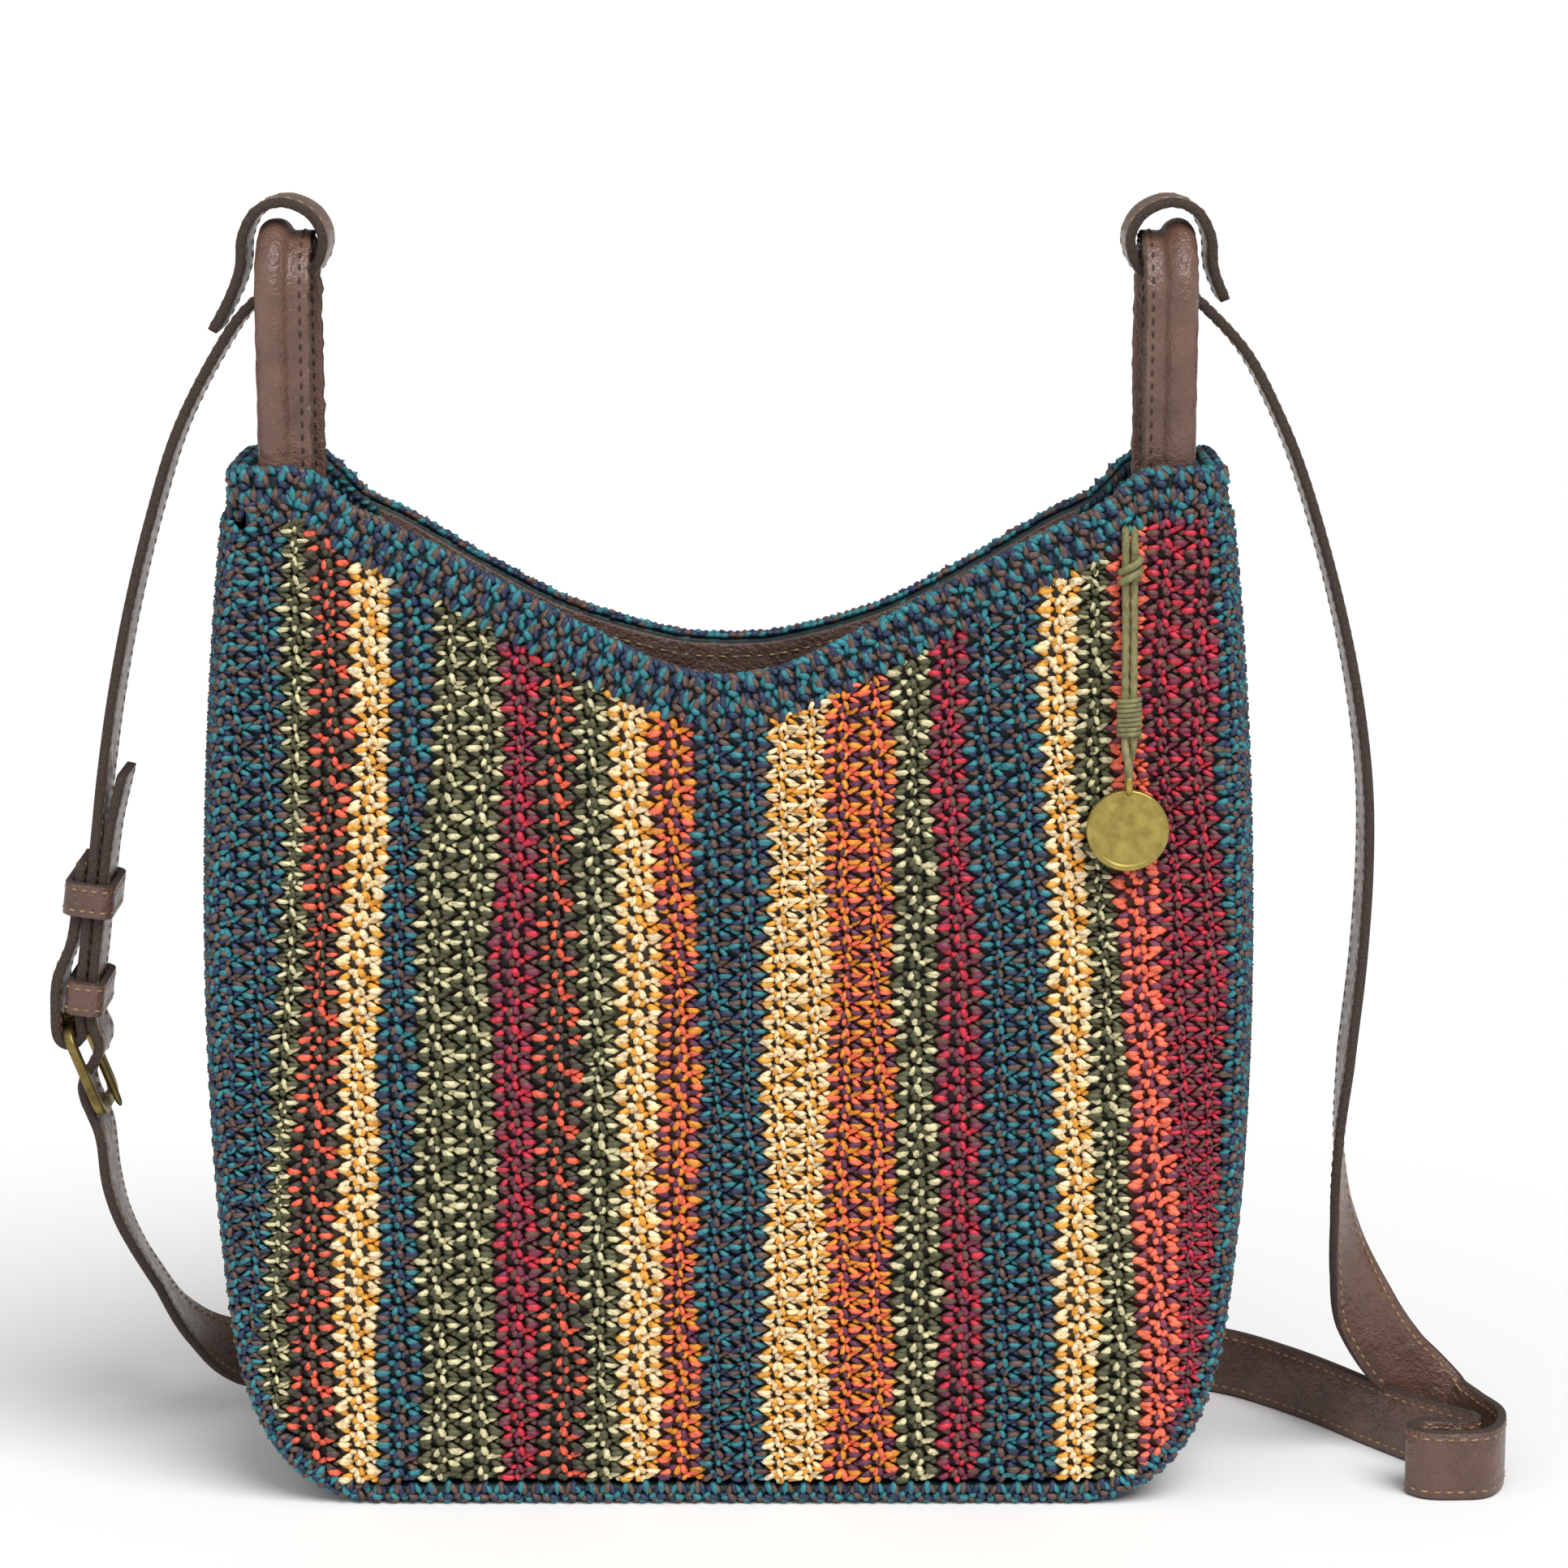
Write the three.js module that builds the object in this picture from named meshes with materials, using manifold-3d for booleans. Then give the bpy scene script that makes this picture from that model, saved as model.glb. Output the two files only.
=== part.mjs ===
// Striped crochet crossbody bag with leather handles, a buckled leather strap and a small brass fob.
// Millimetres, +Z up. The base rests on z = 0, the front faces -Y and x = 0 is the middle of the bag.
import * as THREE from "three";
import { mergeVertices } from "three/addons/utils/BufferGeometryUtils.js";
import Module from "manifold-3d";

const wasm = await Module();
wasm.setup();

// Bag body
const bagHalfWidth = 131;
const bagHeight = 269.4;
const mouthDip = 50.2;
const rimHeight = 12;
const sideDepthBase = 27;
const panelBelly = 4;
const mouthBelly = 8;
const panelThick = 4.5;
const gussetThick = 4;
const gussetBulge = 3;
const braidRadius = 2.8;
const rimThick = 4.6;
const rimCorner = 10;
const seatGap = 0.3;

// Lining and facings
const liningInset = 5;
const liningThick = 1;
const facingThick = 1.4;
const facingDrop = 30;
const facingHalfLength = 90;

// Handles
const handleRadius = 4.2;
const handleWall = 1.2;
const flangeWidth = 5.2;
const flangeThick = 2.6;
const handleRise = 41;
const handleSeat = 26.4;
const handleInset = 2.6;
const loopSlack = 1.45;

// Strap and buckle
const strapWidth = 18.5;
const strapThick = 2.4;
const layerPitch = 3;
const keeperHeight = 9;
const keeperWall = 1.8;
const keeperSlack = 0.5;
const barRadius = 1.4;
const frameLength = 22;
const frameTilt = THREE.MathUtils.degToRad(21);
const prongRadius = 1;
const holeLength = 7.4;
const holeWidth = 3.2;
const holePitch = 26;
const holeCount = 5;
const strapLean = 4 / 30;
const heelOut = 38.9;
const heelZ = 121.4;
const slidingKeeperZ = 157;
const fixedKeeperZ = 131;

// Fob
const fobInset = 31.2;
const cordRadius = 1;
const discRadius = 10.3;
const discThick = 1.6;
const discRim = 2.4;
const eyeRadius = 2.6;
const eyeWire = 0.9;
const discDrop = 88.9;
const discOut = 6;

// Places that follow from the sizes above
const legHalfGap = strapWidth / 2 + handleRadius + loopSlack;
const sideDepthTop = legHalfGap + handleRadius + rimThick + seatGap;
const archCentreZ = bagHeight + handleRise;
const legFootZ = bagHeight - handleSeat;
const heelX = -(bagHalfWidth + heelOut);
const fobX = bagHalfWidth - fobInset;
const discCentreZ = bagHeight - discDrop;
const discY = -(sideDepthBase + discOut);

const { smoothstep } = THREE.MathUtils;
const v3 = (x, y, z) => new THREE.Vector3(x, y, z);

// A smooth curve of values through a few knots.
function through(knots, t) {
  const last = knots.length - 1;
  const at = Math.min(Math.max(t, knots[0][0]), knots[last][0]);
  let i = 0;
  while (i < last - 1 && at > knots[i + 1][0]) i++;
  const slope = (j) => {
    const a = knots[Math.max(j - 1, 0)];
    const b = knots[Math.min(j + 1, last)];
    return (b[1] - a[1]) / (b[0] - a[0]);
  };
  const span = knots[i + 1][0] - knots[i][0];
  const u = (at - knots[i][0]) / span;
  const start = (1 + 2 * u) * (1 - u) * (1 - u) * knots[i][1];
  const end = u * u * (3 - 2 * u) * knots[i + 1][1];
  const leave = u * (1 - u) * (1 - u) * span * slope(i);
  const arrive = u * u * (u - 1) * span * slope(i + 1);
  return start + end + leave + arrive;
}

// A closed skin over rings of equal point count. Each ring runs out along one side and back along the other,
// so that an end is closed by a ladder of quads.
function skin(rings, loop = false) {
  const count = rings[0].length;
  const points = rings.flat().flatMap((p) => [p.x, p.y, p.z]);
  const faces = [];
  const quad = (a, b, c, d) => faces.push(a, b, c, a, c, d);
  const spans = loop ? rings.length : rings.length - 1;
  for (let r = 0; r < spans; r++) {
    const next = (r + 1) % rings.length;
    for (let i = 0; i < count; i++) {
      const j = (i + 1) % count;
      quad(r * count + i, r * count + j, next * count + j, next * count + i);
    }
  }
  if (!loop) {
    const far = (rings.length - 1) * count;
    for (let i = 0; i < count / 2 - 1; i++) {
      quad(i, count - 1 - i, count - 2 - i, i + 1);
      quad(far + i, far + i + 1, far + count - 2 - i, far + count - 1 - i);
    }
  }
  const geometry = new THREE.BufferGeometry();
  geometry.setAttribute("position", new THREE.Float32BufferAttribute(points, 3));
  geometry.setIndex(faces);
  return facingOut(geometry);
}

// Turns the faces round if the skin came out inside out.
function facingOut(geometry) {
  const p = geometry.getAttribute("position");
  const index = geometry.index.array;
  let volume = 0;
  for (let i = 0; i < index.length; i += 3) {
    const [a, b, c] = [0, 1, 2].map((k) => v3().fromBufferAttribute(p, index[i + k]));
    volume += a.dot(b.cross(c));
  }
  if (volume < 0) {
    const turned = [];
    for (let i = 0; i < index.length; i += 3) turned.push(index[i], index[i + 2], index[i + 1]);
    geometry.setIndex(turned);
  }
  return geometry;
}

function solidOf(geometry) {
  const plain = geometry.clone();
  plain.deleteAttribute("normal");
  plain.deleteAttribute("uv");
  const merged = mergeVertices(plain, 1e-3);
  return new wasm.Manifold(
    new wasm.Mesh({
      numProp: 3,
      vertProperties: new Float32Array(merged.attributes.position.array),
      triVerts: new Uint32Array(merged.index.array),
    }),
  );
}

function geometryOf(solid) {
  const mesh = solid.getMesh();
  const geometry = new THREE.BufferGeometry();
  geometry.setAttribute("position", new THREE.BufferAttribute(new Float32Array(mesh.vertProperties), 3));
  geometry.setIndex(new THREE.BufferAttribute(new Uint32Array(mesh.triVerts), 1));
  return geometry;
}

function cut(geometry, tools) {
  return geometryOf(tools.reduce((left, tool) => left.subtract(solidOf(tool)), solidOf(geometry)));
}

// A round section set square to a path of points.
function roundAlong(points, radius, sides, across, loop = false) {
  const rings = points.map((p, k) => {
    const before = points[loop ? (k - 1 + points.length) % points.length : Math.max(k - 1, 0)];
    const after = points[loop ? (k + 1) % points.length : Math.min(k + 1, points.length - 1)];
    const along = after.clone().sub(before).normalize();
    const u = across.clone().addScaledVector(along, -across.dot(along)).normalize();
    const w = along.clone().cross(u);
    return Array.from({ length: sides }, (_, i) => {
      const angle = ((i + 0.5) / sides) * 2 * Math.PI;
      const spoke = u.clone().multiplyScalar(radius * Math.cos(angle));
      return spoke.addScaledVector(w, radius * Math.sin(angle)).add(p);
    });
  });
  return skin(rings, loop);
}

// Half of the seam line in the X-Z plane, from the middle of the base to the top of the side.
const wideX = bagHalfWidth - 2;
const topX = bagHalfWidth - 7.2;
const handleX = topX - rimThick - handleRadius - handleInset;
const sideTopZ = bagHeight - rimHeight - seatGap;
const seamLine = new THREE.Path();
seamLine.moveTo(0, 0);
seamLine.lineTo(bagHalfWidth - 43, 0);
seamLine.bezierCurveTo(bagHalfWidth - 15, 0, bagHalfWidth - 4, 22, wideX, 64);
seamLine.bezierCurveTo(bagHalfWidth + 2, 118, bagHalfWidth + 1, bagHeight - 79.4, topX, sideTopZ);

// Points of the whole seam line from the left top to the right top, with the outward normal.
function seamStations(count) {
  const half = [];
  for (let i = 0; i <= count; i++) {
    const p = seamLine.getPointAt(i / count);
    const t = seamLine.getTangentAt(i / count);
    half.push({ x: p.x, z: p.y, nx: t.y, nz: -t.x });
  }
  const left = half.slice(1).reverse().map((s) => ({ ...s, x: -s.x, nx: -s.nx }));
  return [...left, ...half];
}

// Half width of the seam line moved inwards, at a height.
function insetOutline(inset) {
  const marks = seamStations(60)
    .map((s) => [s.z - inset * s.nz, s.x - inset * s.nx])
    .filter(([z, x]) => x > bagHalfWidth - 45);
  return (z) => {
    const i = Math.min(Math.max(marks.findIndex(([mark]) => mark > z), 1), marks.length - 1);
    const at = z > marks[marks.length - 1][0] ? marks.length - 1 : i;
    const [z0, x0] = marks[at - 1];
    const [z1, x1] = marks[at];
    return x0 + ((x1 - x0) * Math.max(z - z0, 0)) / (z1 - z0);
  };
}

// Outer half depth of the bag, with a belly in the panels and the mouth pushed open in the middle.
function halfDepth(x, z) {
  const side = sideDepthBase + (sideDepthTop - sideDepthBase) * smoothstep(z, bagHeight - 139.4, bagHeight);
  const across = Math.min(Math.abs(x) / bagHalfWidth, 1);
  const belly = panelBelly * (1 - across * across) * smoothstep(z, 0, 70);
  const open = mouthBelly * Math.exp(-((x / 40) ** 2)) * smoothstep(z, bagHeight - 149.4, bagHeight - 44.4);
  return side + belly + open - panelBelly * (1 - across * across) * smoothstep(z, bagHeight - 99.4, bagHeight - 19.4);
}

// Height of the rim over x: a dip in the middle and a raised collar at each handle.
// The back rim lies a little lower.
const dipZ = bagHeight - mouthDip;
const mouthSpan = handleX - 9.4;
const mouthShare = mouthSpan / 103;
const frontRim = [
  [0, dipZ],
  [mouthShare * 12, dipZ + 1.8],
  [mouthShare * 22, dipZ + 5.4],
  [mouthShare * 38, dipZ + 13],
  [mouthShare * 60, dipZ + 24.4],
  [mouthShare * 80, dipZ + 35],
  [mouthShare * 94, dipZ + 41.6],
  [mouthShare * 103, bagHeight - 0.6],
  [mouthSpan + 17, bagHeight],
];
const backRim = [
  [0, dipZ - 0.7],
  [mouthShare * 14, dipZ + 0.6],
  [mouthShare * 40, dipZ + 9],
  [mouthShare * 63, dipZ + 21.4],
  [mouthShare * 83, dipZ + 33.4],
  [mouthShare * 94, dipZ + 39],
  [mouthShare * 104, bagHeight - 1.6],
  [mouthSpan + 17, bagHeight],
];
const rimZ = (x, y) => through(y < 0 ? frontRim : backRim, Math.abs(x));

// One crochet panel. The side is -1 for the front and +1 for the back.
function panel(side) {
  const inset = 2 * braidRadius + 0.4 + 2 * seatGap;
  const halfWidthAt = insetOutline(inset);
  const columns = 26;
  const rows = 11;
  const rings = [];
  for (let c = 0; c <= columns; c++) {
    const u = -1 + (2 * c) / columns;
    let top = sideTopZ;
    for (let pass = 0; pass < 6; pass++) top = rimZ(u * halfWidthAt(top), side) - rimHeight - 3 * seatGap;
    const outer = [];
    const inner = [];
    for (let r = 0; r <= rows; r++) {
      const z = inset + (top - inset) * (r / rows) ** 1.35;
      const x = u * halfWidthAt(z);
      outer.push(v3(x, side * halfDepth(x, z), z));
      inner.push(v3(x, side * (halfDepth(x, z) - panelThick), z));
    }
    rings.push([...outer, ...inner.reverse()]);
  }
  return skin(rings);
}

// The gusset strip, flat under the base and bulged outwards at the sides.
function gusset() {
  const edge = 2 * braidRadius + seatGap;
  const steps = 4;
  const rings = seamStations(24).map((s) => {
    const reach = halfDepth(s.x, s.z) - edge;
    const bulge = gussetBulge * smoothstep(s.z, 8, 80);
    const outer = [];
    const inner = [];
    for (let i = 0; i <= steps; i++) {
      const y = -reach + (2 * reach * i) / steps;
      const out = bulge * (1 - (y / reach) ** 2);
      outer.push(v3(s.x + s.nx * out, y, s.z + s.nz * out));
      inner.push(v3(s.x + s.nx * (out - gussetThick), y, s.z + s.nz * (out - gussetThick)));
    }
    return [...outer, ...inner.reverse()];
  });
  for (const ring of [rings[0], rings[rings.length - 1]]) ring.forEach((p) => (p.z = sideTopZ));
  return skin(rings);
}

function seamBraid(side) {
  const points = seamStations(24).map((s) => {
    const inset = braidRadius + 0.4;
    return v3(s.x - s.nx * inset, side * (halfDepth(s.x, s.z) - braidRadius), s.z - s.nz * inset);
  });
  points[0].z = points[points.length - 1].z = sideTopZ - 0.2;
  return roundAlong(points, braidRadius, 8, v3(0, 1, 0));
}

// Plan of the mouth or of a level of the lining: straight runs bent by the belly, with round corners.
function planLoop(halfWidth, inset, heightAt, runs, turns) {
  const corner = rimCorner - inset;
  const straight = halfWidth - rimCorner;
  const loop = [];
  for (const side of [-1, 1]) {
    for (let i = 0; i <= runs; i++) {
      const x = -side * (-straight + (2 * straight * i) / runs);
      const z = heightAt(x, side);
      loop.push(v3(x, side * (halfDepth(x, z) - inset), z));
    }
    const end = loop[loop.length - 1];
    for (let i = 1; i < turns; i++) {
      const angle = (i / turns) * (Math.PI / 2);
      const x = -side * (straight + corner * Math.sin(angle));
      loop.push(v3(x, end.y - side * corner * (1 - Math.cos(angle)), heightAt(x, side)));
    }
    const beyond = -side * (straight + corner);
    loop.push(v3(beyond, end.y - side * corner, heightAt(beyond, side)));
    loop.push(v3(beyond, -(end.y - side * corner), heightAt(beyond, -side)));
    for (let i = turns - 1; i > 0; i--) {
      const angle = (i / turns) * (Math.PI / 2);
      const x = -side * (straight + corner * Math.sin(angle));
      loop.push(v3(x, -end.y + side * corner * (1 - Math.cos(angle)), heightAt(x, -side)));
    }
  }
  return loop;
}

// The rim edging: a band round the mouth with a rounded top.
function rimEdging() {
  const wallTop = rimHeight - rimThick * 0.3;
  const levels = [
    [0, -rimHeight],
    [0, wallTop - rimHeight],
    [rimThick * 0.25, 0],
    [rimThick * 0.75, 0],
    [rimThick, wallTop - rimHeight],
    [rimThick, -rimHeight],
  ];
  const loops = levels.map(([inset, drop]) => planLoop(topX, inset, (x, y) => rimZ(x, y) + drop, 30, 4));
  return skin(loops, true);
}

// The lining: a cloth bag, closed at the foot and open at the top.
function lining() {
  const rows = 7;
  const wall = (inset) => {
    const halfWidthAt = insetOutline(inset);
    return Array.from({ length: rows + 1 }, (_, r) => {
      const share = (r / rows) ** 1.4;
      const level = (x, y) => {
        const top = rimZ(x, y) - facingDrop - 10 * seatGap;
        return inset + (top - inset) * share;
      };
      const halfWidth = halfWidthAt(level(bagHalfWidth, -1));
      return planLoop(halfWidth + inset, inset, level, 16, 3);
    });
  };
  return skin([...wall(liningInset), ...wall(liningInset + liningThick).reverse()]);
}

// A facing strip inside the mouth.
function facing(side) {
  const columns = 20;
  const rings = [];
  for (let c = 0; c <= columns; c++) {
    const x = facingHalfLength * (-1 + (2 * c) / columns);
    const top = rimZ(x, side) - 2;
    const outer = [];
    const inner = [];
    for (let r = 0; r <= 2; r++) {
      const z = top + (facingDrop - 2) * (r / 2 - 1);
      outer.push(v3(x, side * (halfDepth(x, z) - rimThick - seatGap), z));
      inner.push(v3(x, side * (halfDepth(x, z) - rimThick - seatGap - facingThick), z));
    }
    rings.push([...outer, ...inner.reverse()]);
  }
  return skin(rings);
}

// Inverted U of a handle in the Y-Z plane: a point and the direction away from the middle of the arch.
function handleStations() {
  const stations = [];
  const steps = 12;
  const at = (side, z) => ({ p: v3(0, side * legHalfGap, z), out: v3(0, side, 0) });
  const leg = (side) => [legFootZ, bagHeight + 10.6].map((z) => at(side, z));
  stations.push(...leg(-1));
  for (let i = 0; i <= steps; i++) {
    const angle = Math.PI - (i / steps) * Math.PI;
    const out = v3(0, Math.cos(angle), Math.sin(angle));
    stations.push({ p: out.clone().multiplyScalar(legHalfGap).setZ(archCentreZ + legHalfGap * out.z), out });
  }
  stations.push(...leg(1).reverse());
  return stations;
}

// The rolled leather of a handle: a round roll round its core, with the stitched flange towards the bag.
function handleCover(side) {
  const lip = Math.asin(flangeThick / 2 / handleRadius);
  const arc = 12;
  const outline = [[handleRadius + flangeWidth, -flangeThick / 2]];
  outline.push([handleRadius + flangeWidth, flangeThick / 2]);
  for (let i = 0; i <= arc; i++) {
    const angle = lip + (i / arc) * (2 * Math.PI - 2 * lip);
    outline.push([handleRadius * Math.cos(angle), handleRadius * Math.sin(angle)]);
  }
  const bore = handleRadius - handleWall;
  const place = (s, a, b) => v3(-side * a, 0, 0).add(s.p).addScaledVector(s.out, b);
  const stations = handleStations();
  const outer = stations.map((s) => outline.map(([a, b]) => place(s, a, b)));
  const inner = stations.map((s) =>
    outline.map(([a, b]) => {
      const angle = Math.atan2(b, a);
      return place(s, bore * Math.cos(angle), bore * Math.sin(angle));
    }),
  );
  return skin([...outer, ...inner.reverse()], true);
}

function handleCore() {
  const points = handleStations().map((s) => s.p);
  return roundAlong(points, handleRadius - handleWall - seatGap, 8, v3(1, 0, 0));
}

// A flat strap through hand-chosen stations: each has a point and the direction of its width.
function strapPath(stations) {
  const curve = new THREE.CatmullRomCurve3(stations.map(([x, y, z]) => v3(x, y, z)), false, "centripetal");
  const last = stations.length - 1;
  return (t) => {
    const i = Math.min(Math.floor(t * last), last - 1);
    const from = v3(...stations[i][3]);
    const width = from.lerp(v3(...stations[i + 1][3]), t * last - i);
    const along = curve.getTangent(t);
    width.addScaledVector(along, -width.dot(along)).normalize();
    return { p: curve.getPoint(t), along, width, face: along.clone().cross(width) };
  };
}

function strap(stations, perStation) {
  const at = strapPath(stations);
  const steps = (stations.length - 1) * perStation;
  const corners = [
    [0.5, 0.5],
    [-0.5, 0.5],
    [-0.5, -0.5],
    [0.5, -0.5],
  ];
  const rings = Array.from({ length: steps + 1 }, (_, k) => {
    const { p, width, face } = at(k / steps);
    return corners.map(([a, b]) =>
      p.clone().addScaledVector(width, a * strapWidth).addScaledVector(face, b * strapThick),
    );
  });
  return skin(rings);
}

const deep = [0, 1, 0];
const upright = [0, 0, 1];

// Frame of the buckle in the X-Z plane: "down" runs from the heel bar to the far bar, "inward" faces the bag.
const down = v3(Math.sin(frameTilt), 0, -Math.cos(frameTilt));
const inward = v3(Math.cos(frameTilt), 0, Math.sin(frameTilt));
const heel = v3(heelX, 0, heelZ);
const atBuckle = (s, q) => heel.clone().addScaledVector(down, s).addScaledVector(inward, q);
const foldRadius = barRadius + 2 * seatGap + strapThick / 2;

// Straight stretch of the strap layers above the buckle.
// Layer 0 is the main run, -1 the fold-back and +1 the tail.
const leanLength = Math.hypot(1, strapLean);
const layerX = (z, layer) => heelX + 2.9 + strapLean * (z - fixedKeeperZ) + layer * layerPitch * leanLength;

// The loop that each strap end makes over its handle, as offsets from the handle's own x, cut end first.
const endLoop = [
  [-15.6, -8.2],
  [-11.4, -0.6],
  [-8.4, 7.2],
  [-7.6, 15.1],
  [-4, 21.4],
  [2.4, 23.6],
  [9.4, 20.6],
  [12.4, 14.6],
  [10.4, 7.8],
  [4.6, 3.8],
  [-1.6, 1.4],
  [-7.4, -3.2],
];
const loopAt = (side) => endLoop.map(([x, z]) => [side * (handleX - x), 0, archCentreZ + z, deep]);

// A station beside the bag, by its distance out from the widest part.
const left = (out, y, z, width = deep) => [-(bagHalfWidth + out), y, z, width];
const right = (out, y, z, width = deep) => [bagHalfWidth + out, y, z, width];

// Buckle strap: cut end, loop, main run, fold round the heel bar and the fold-back up to the sliding keeper.
const foldBack = [
  atBuckle(0, foldRadius),
  atBuckle(foldRadius * 0.72, foldRadius * 0.72),
  atBuckle(foldRadius, 0),
  atBuckle(foldRadius * 0.72, -foldRadius * 0.72),
  atBuckle(0, -foldRadius),
].map((p) => [p.x, 0, p.z, deep]);
const buckleStrapStations = [
  ...loopAt(-1),
  left(-5.8, 0, archCentreZ - 10.4),
  left(6.2, 0, archCentreZ - 32.4),
  left(14, 0, 255),
  left(20.4, 0, 231),
  left(25.4, 0, 207),
  left(28.6, 0, 187),
  [layerX(174, 0), 0, 174, deep],
  [layerX(156, 0), 0, 156, deep],
  [layerX(140, 0), 0, 140, deep],
  [layerX(130, 0), 0, 130, deep],
  ...foldBack,
  [heelX - 3.4, 0, 128, deep],
  [heelX - 2.6, 0, 136, deep],
  [layerX(145, -1) - 0.6, 0, 145, deep],
  [layerX(155, -1), 0, 155, deep],
  [layerX(166, -1), 0, 166, deep],
];

// Hole strap: tip, tail through both keepers, buckle, down and round behind the bag on its edge, the folded
// roll at the right, and up to the loop on the right handle.
const onFloor = strapWidth / 2 + 0.25;
const buckleCrossing = [
  [0, foldRadius + layerPitch],
  [5, foldRadius + layerPitch - 0.1],
  [8, 4.5],
  [11, 0.8],
  [14, -2.2],
  [18, -foldRadius],
  [22, -foldRadius],
  [28, -foldRadius - 0.2],
].map(([s, q]) => {
  const p = atBuckle(s, q);
  return [p.x, 0, p.z, deep];
});
const holeStrapStations = [
  left(23.2, 0, 189),
  [layerX(174, 1) + 0.3, 0, 174, deep],
  [layerX(156, 1), 0, 156, deep],
  [layerX(140, 1), 0, 140, deep],
  [layerX(131, 1), 0, 131, deep],
  ...buckleCrossing,
  left(31.1, 3, 80, [0, 1, -0.1]),
  left(28.8, 9, 66, [-0.05, 1, -0.2]),
  left(23.6, 18.5, 49, [-0.1, 1, -0.2]),
  left(16.4, 32, 29.5, [-0.1, 0.9, 0.1]),
  left(7.5, 46, 16.5, [-0.1, 0.6, 0.6]),
  left(-5, 58, 10.6, [0, 0.15, 1]),
  left(-27, 65, onFloor, upright),
  [-60, 67, onFloor, upright],
  [0, 66, onFloor, upright],
  [60, 66, onFloor, upright],
  right(-23, 63, onFloor, upright),
  right(3.9, 56.5, onFloor, upright),
  right(24.3, 37.4, onFloor, upright),
  right(41, 15, onFloor, upright),
  right(53, 0, onFloor, upright),
  right(60.6, -7, onFloor, upright),
  right(64.6, -11.2, onFloor, upright),
  right(61, -15.2, onFloor, upright),
  right(56, -14.6, onFloor, upright),
  right(49.6, -14.6, onFloor, upright),
  right(46.4, -18.6, onFloor, upright),
  right(50, -22.8, onFloor, upright),
  right(57.6, -23.6, onFloor, upright),
  right(65.4, -22.4, onFloor, upright),
  right(69.6, -17, onFloor, upright),
  right(71.6, -6, onFloor, upright),
  right(67.6, 5.4, onFloor, upright),
  right(60, 12.4, 12.4, [0.15, 0, 1]),
  right(53, 13.4, 19.4, [0.4, 0.05, 0.9]),
  right(45.4, 11.6, 27.6, [0.62, 0.15, 0.75]),
  right(37.1, 8, 41.3, [0.7, 0.35, 0.5]),
  right(32.1, 4.6, 55.9, [0.5, 0.75, 0.25]),
  right(29.3, 2.4, 70.5, [0.3, 0.95, 0.05]),
  right(28, 1, 90, [0.12, 1, 0]),
  right(29.2, 0, 112),
  right(31.6, 0, 139.3),
  right(32.6, 0, 165.1),
  right(31.8, 0, 187),
  right(28, 0, 213),
  right(21.8, 0, 239),
  right(13, 0, 267),
  right(6.6, 0, 282),
  right(-1.4, 0, archCentreZ - 13.8),
  ...loopAt(1).slice(1).reverse(),
];

// A slot tool square to a plane given by its length and cut directions.
function slot(centre, along, through_, depth) {
  const half = holeLength / 2 - holeWidth / 2;
  const shape = new THREE.Shape();
  shape.absarc(half, 0, holeWidth / 2, -Math.PI / 2, Math.PI / 2);
  shape.absarc(-half, 0, holeWidth / 2, Math.PI / 2, Math.PI * 1.5);
  const tool = new THREE.ExtrudeGeometry(shape, { depth, bevelEnabled: false, curveSegments: 5 });
  tool.translate(0, 0, -depth / 2);
  const side = through_.clone().cross(along);
  tool.applyMatrix4(new THREE.Matrix4().makeBasis(along, side, through_).setPosition(centre));
  return tool;
}

// The strap with its oval holes. The prong stands in the second hole, and the others follow at an even pitch.
function holeStrap() {
  const at = strapPath(holeStrapStations);
  const last = holeStrapStations.length - 1;
  const count = 600;
  const marks = [];
  let run = 0;
  for (let k = 0; k <= count; k++) {
    const t = ((k / count) * 20) / last;
    const mark = at(t);
    if (k > 0) run += mark.p.distanceTo(marks[k - 1].p);
    marks.push({ ...mark, run });
  }
  const prongLine = (m) => m.p.clone().sub(heel).dot(inward) - (barRadius + seatGap + prongRadius);
  const pinned = marks.findIndex((m) => m.p.z < heelZ - 4 && prongLine(m) < 0);
  const tools = [];
  for (let h = 0; h < holeCount; h++) {
    const want = marks[pinned].run + (h - 1) * holePitch;
    const mark = marks.find((m) => m.run >= want);
    tools.push(slot(mark.p, mark.along, mark.face, 3 * strapThick));
  }
  return cut(strap(holeStrapStations, 2), tools);
}

// The buckle strap with the slot in its fold, where the prong comes through.
function buckleStrap() {
  const tool = new THREE.BoxGeometry(2 * foldRadius + 7, holeWidth + 0.4, foldRadius + 8);
  const centre = atBuckle(0.6, -0.4);
  tool.applyMatrix4(new THREE.Matrix4().makeBasis(inward, v3(0, -1, 0), down).setPosition(centre));
  return cut(strap(buckleStrapStations, 3), [tool]);
}

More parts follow.
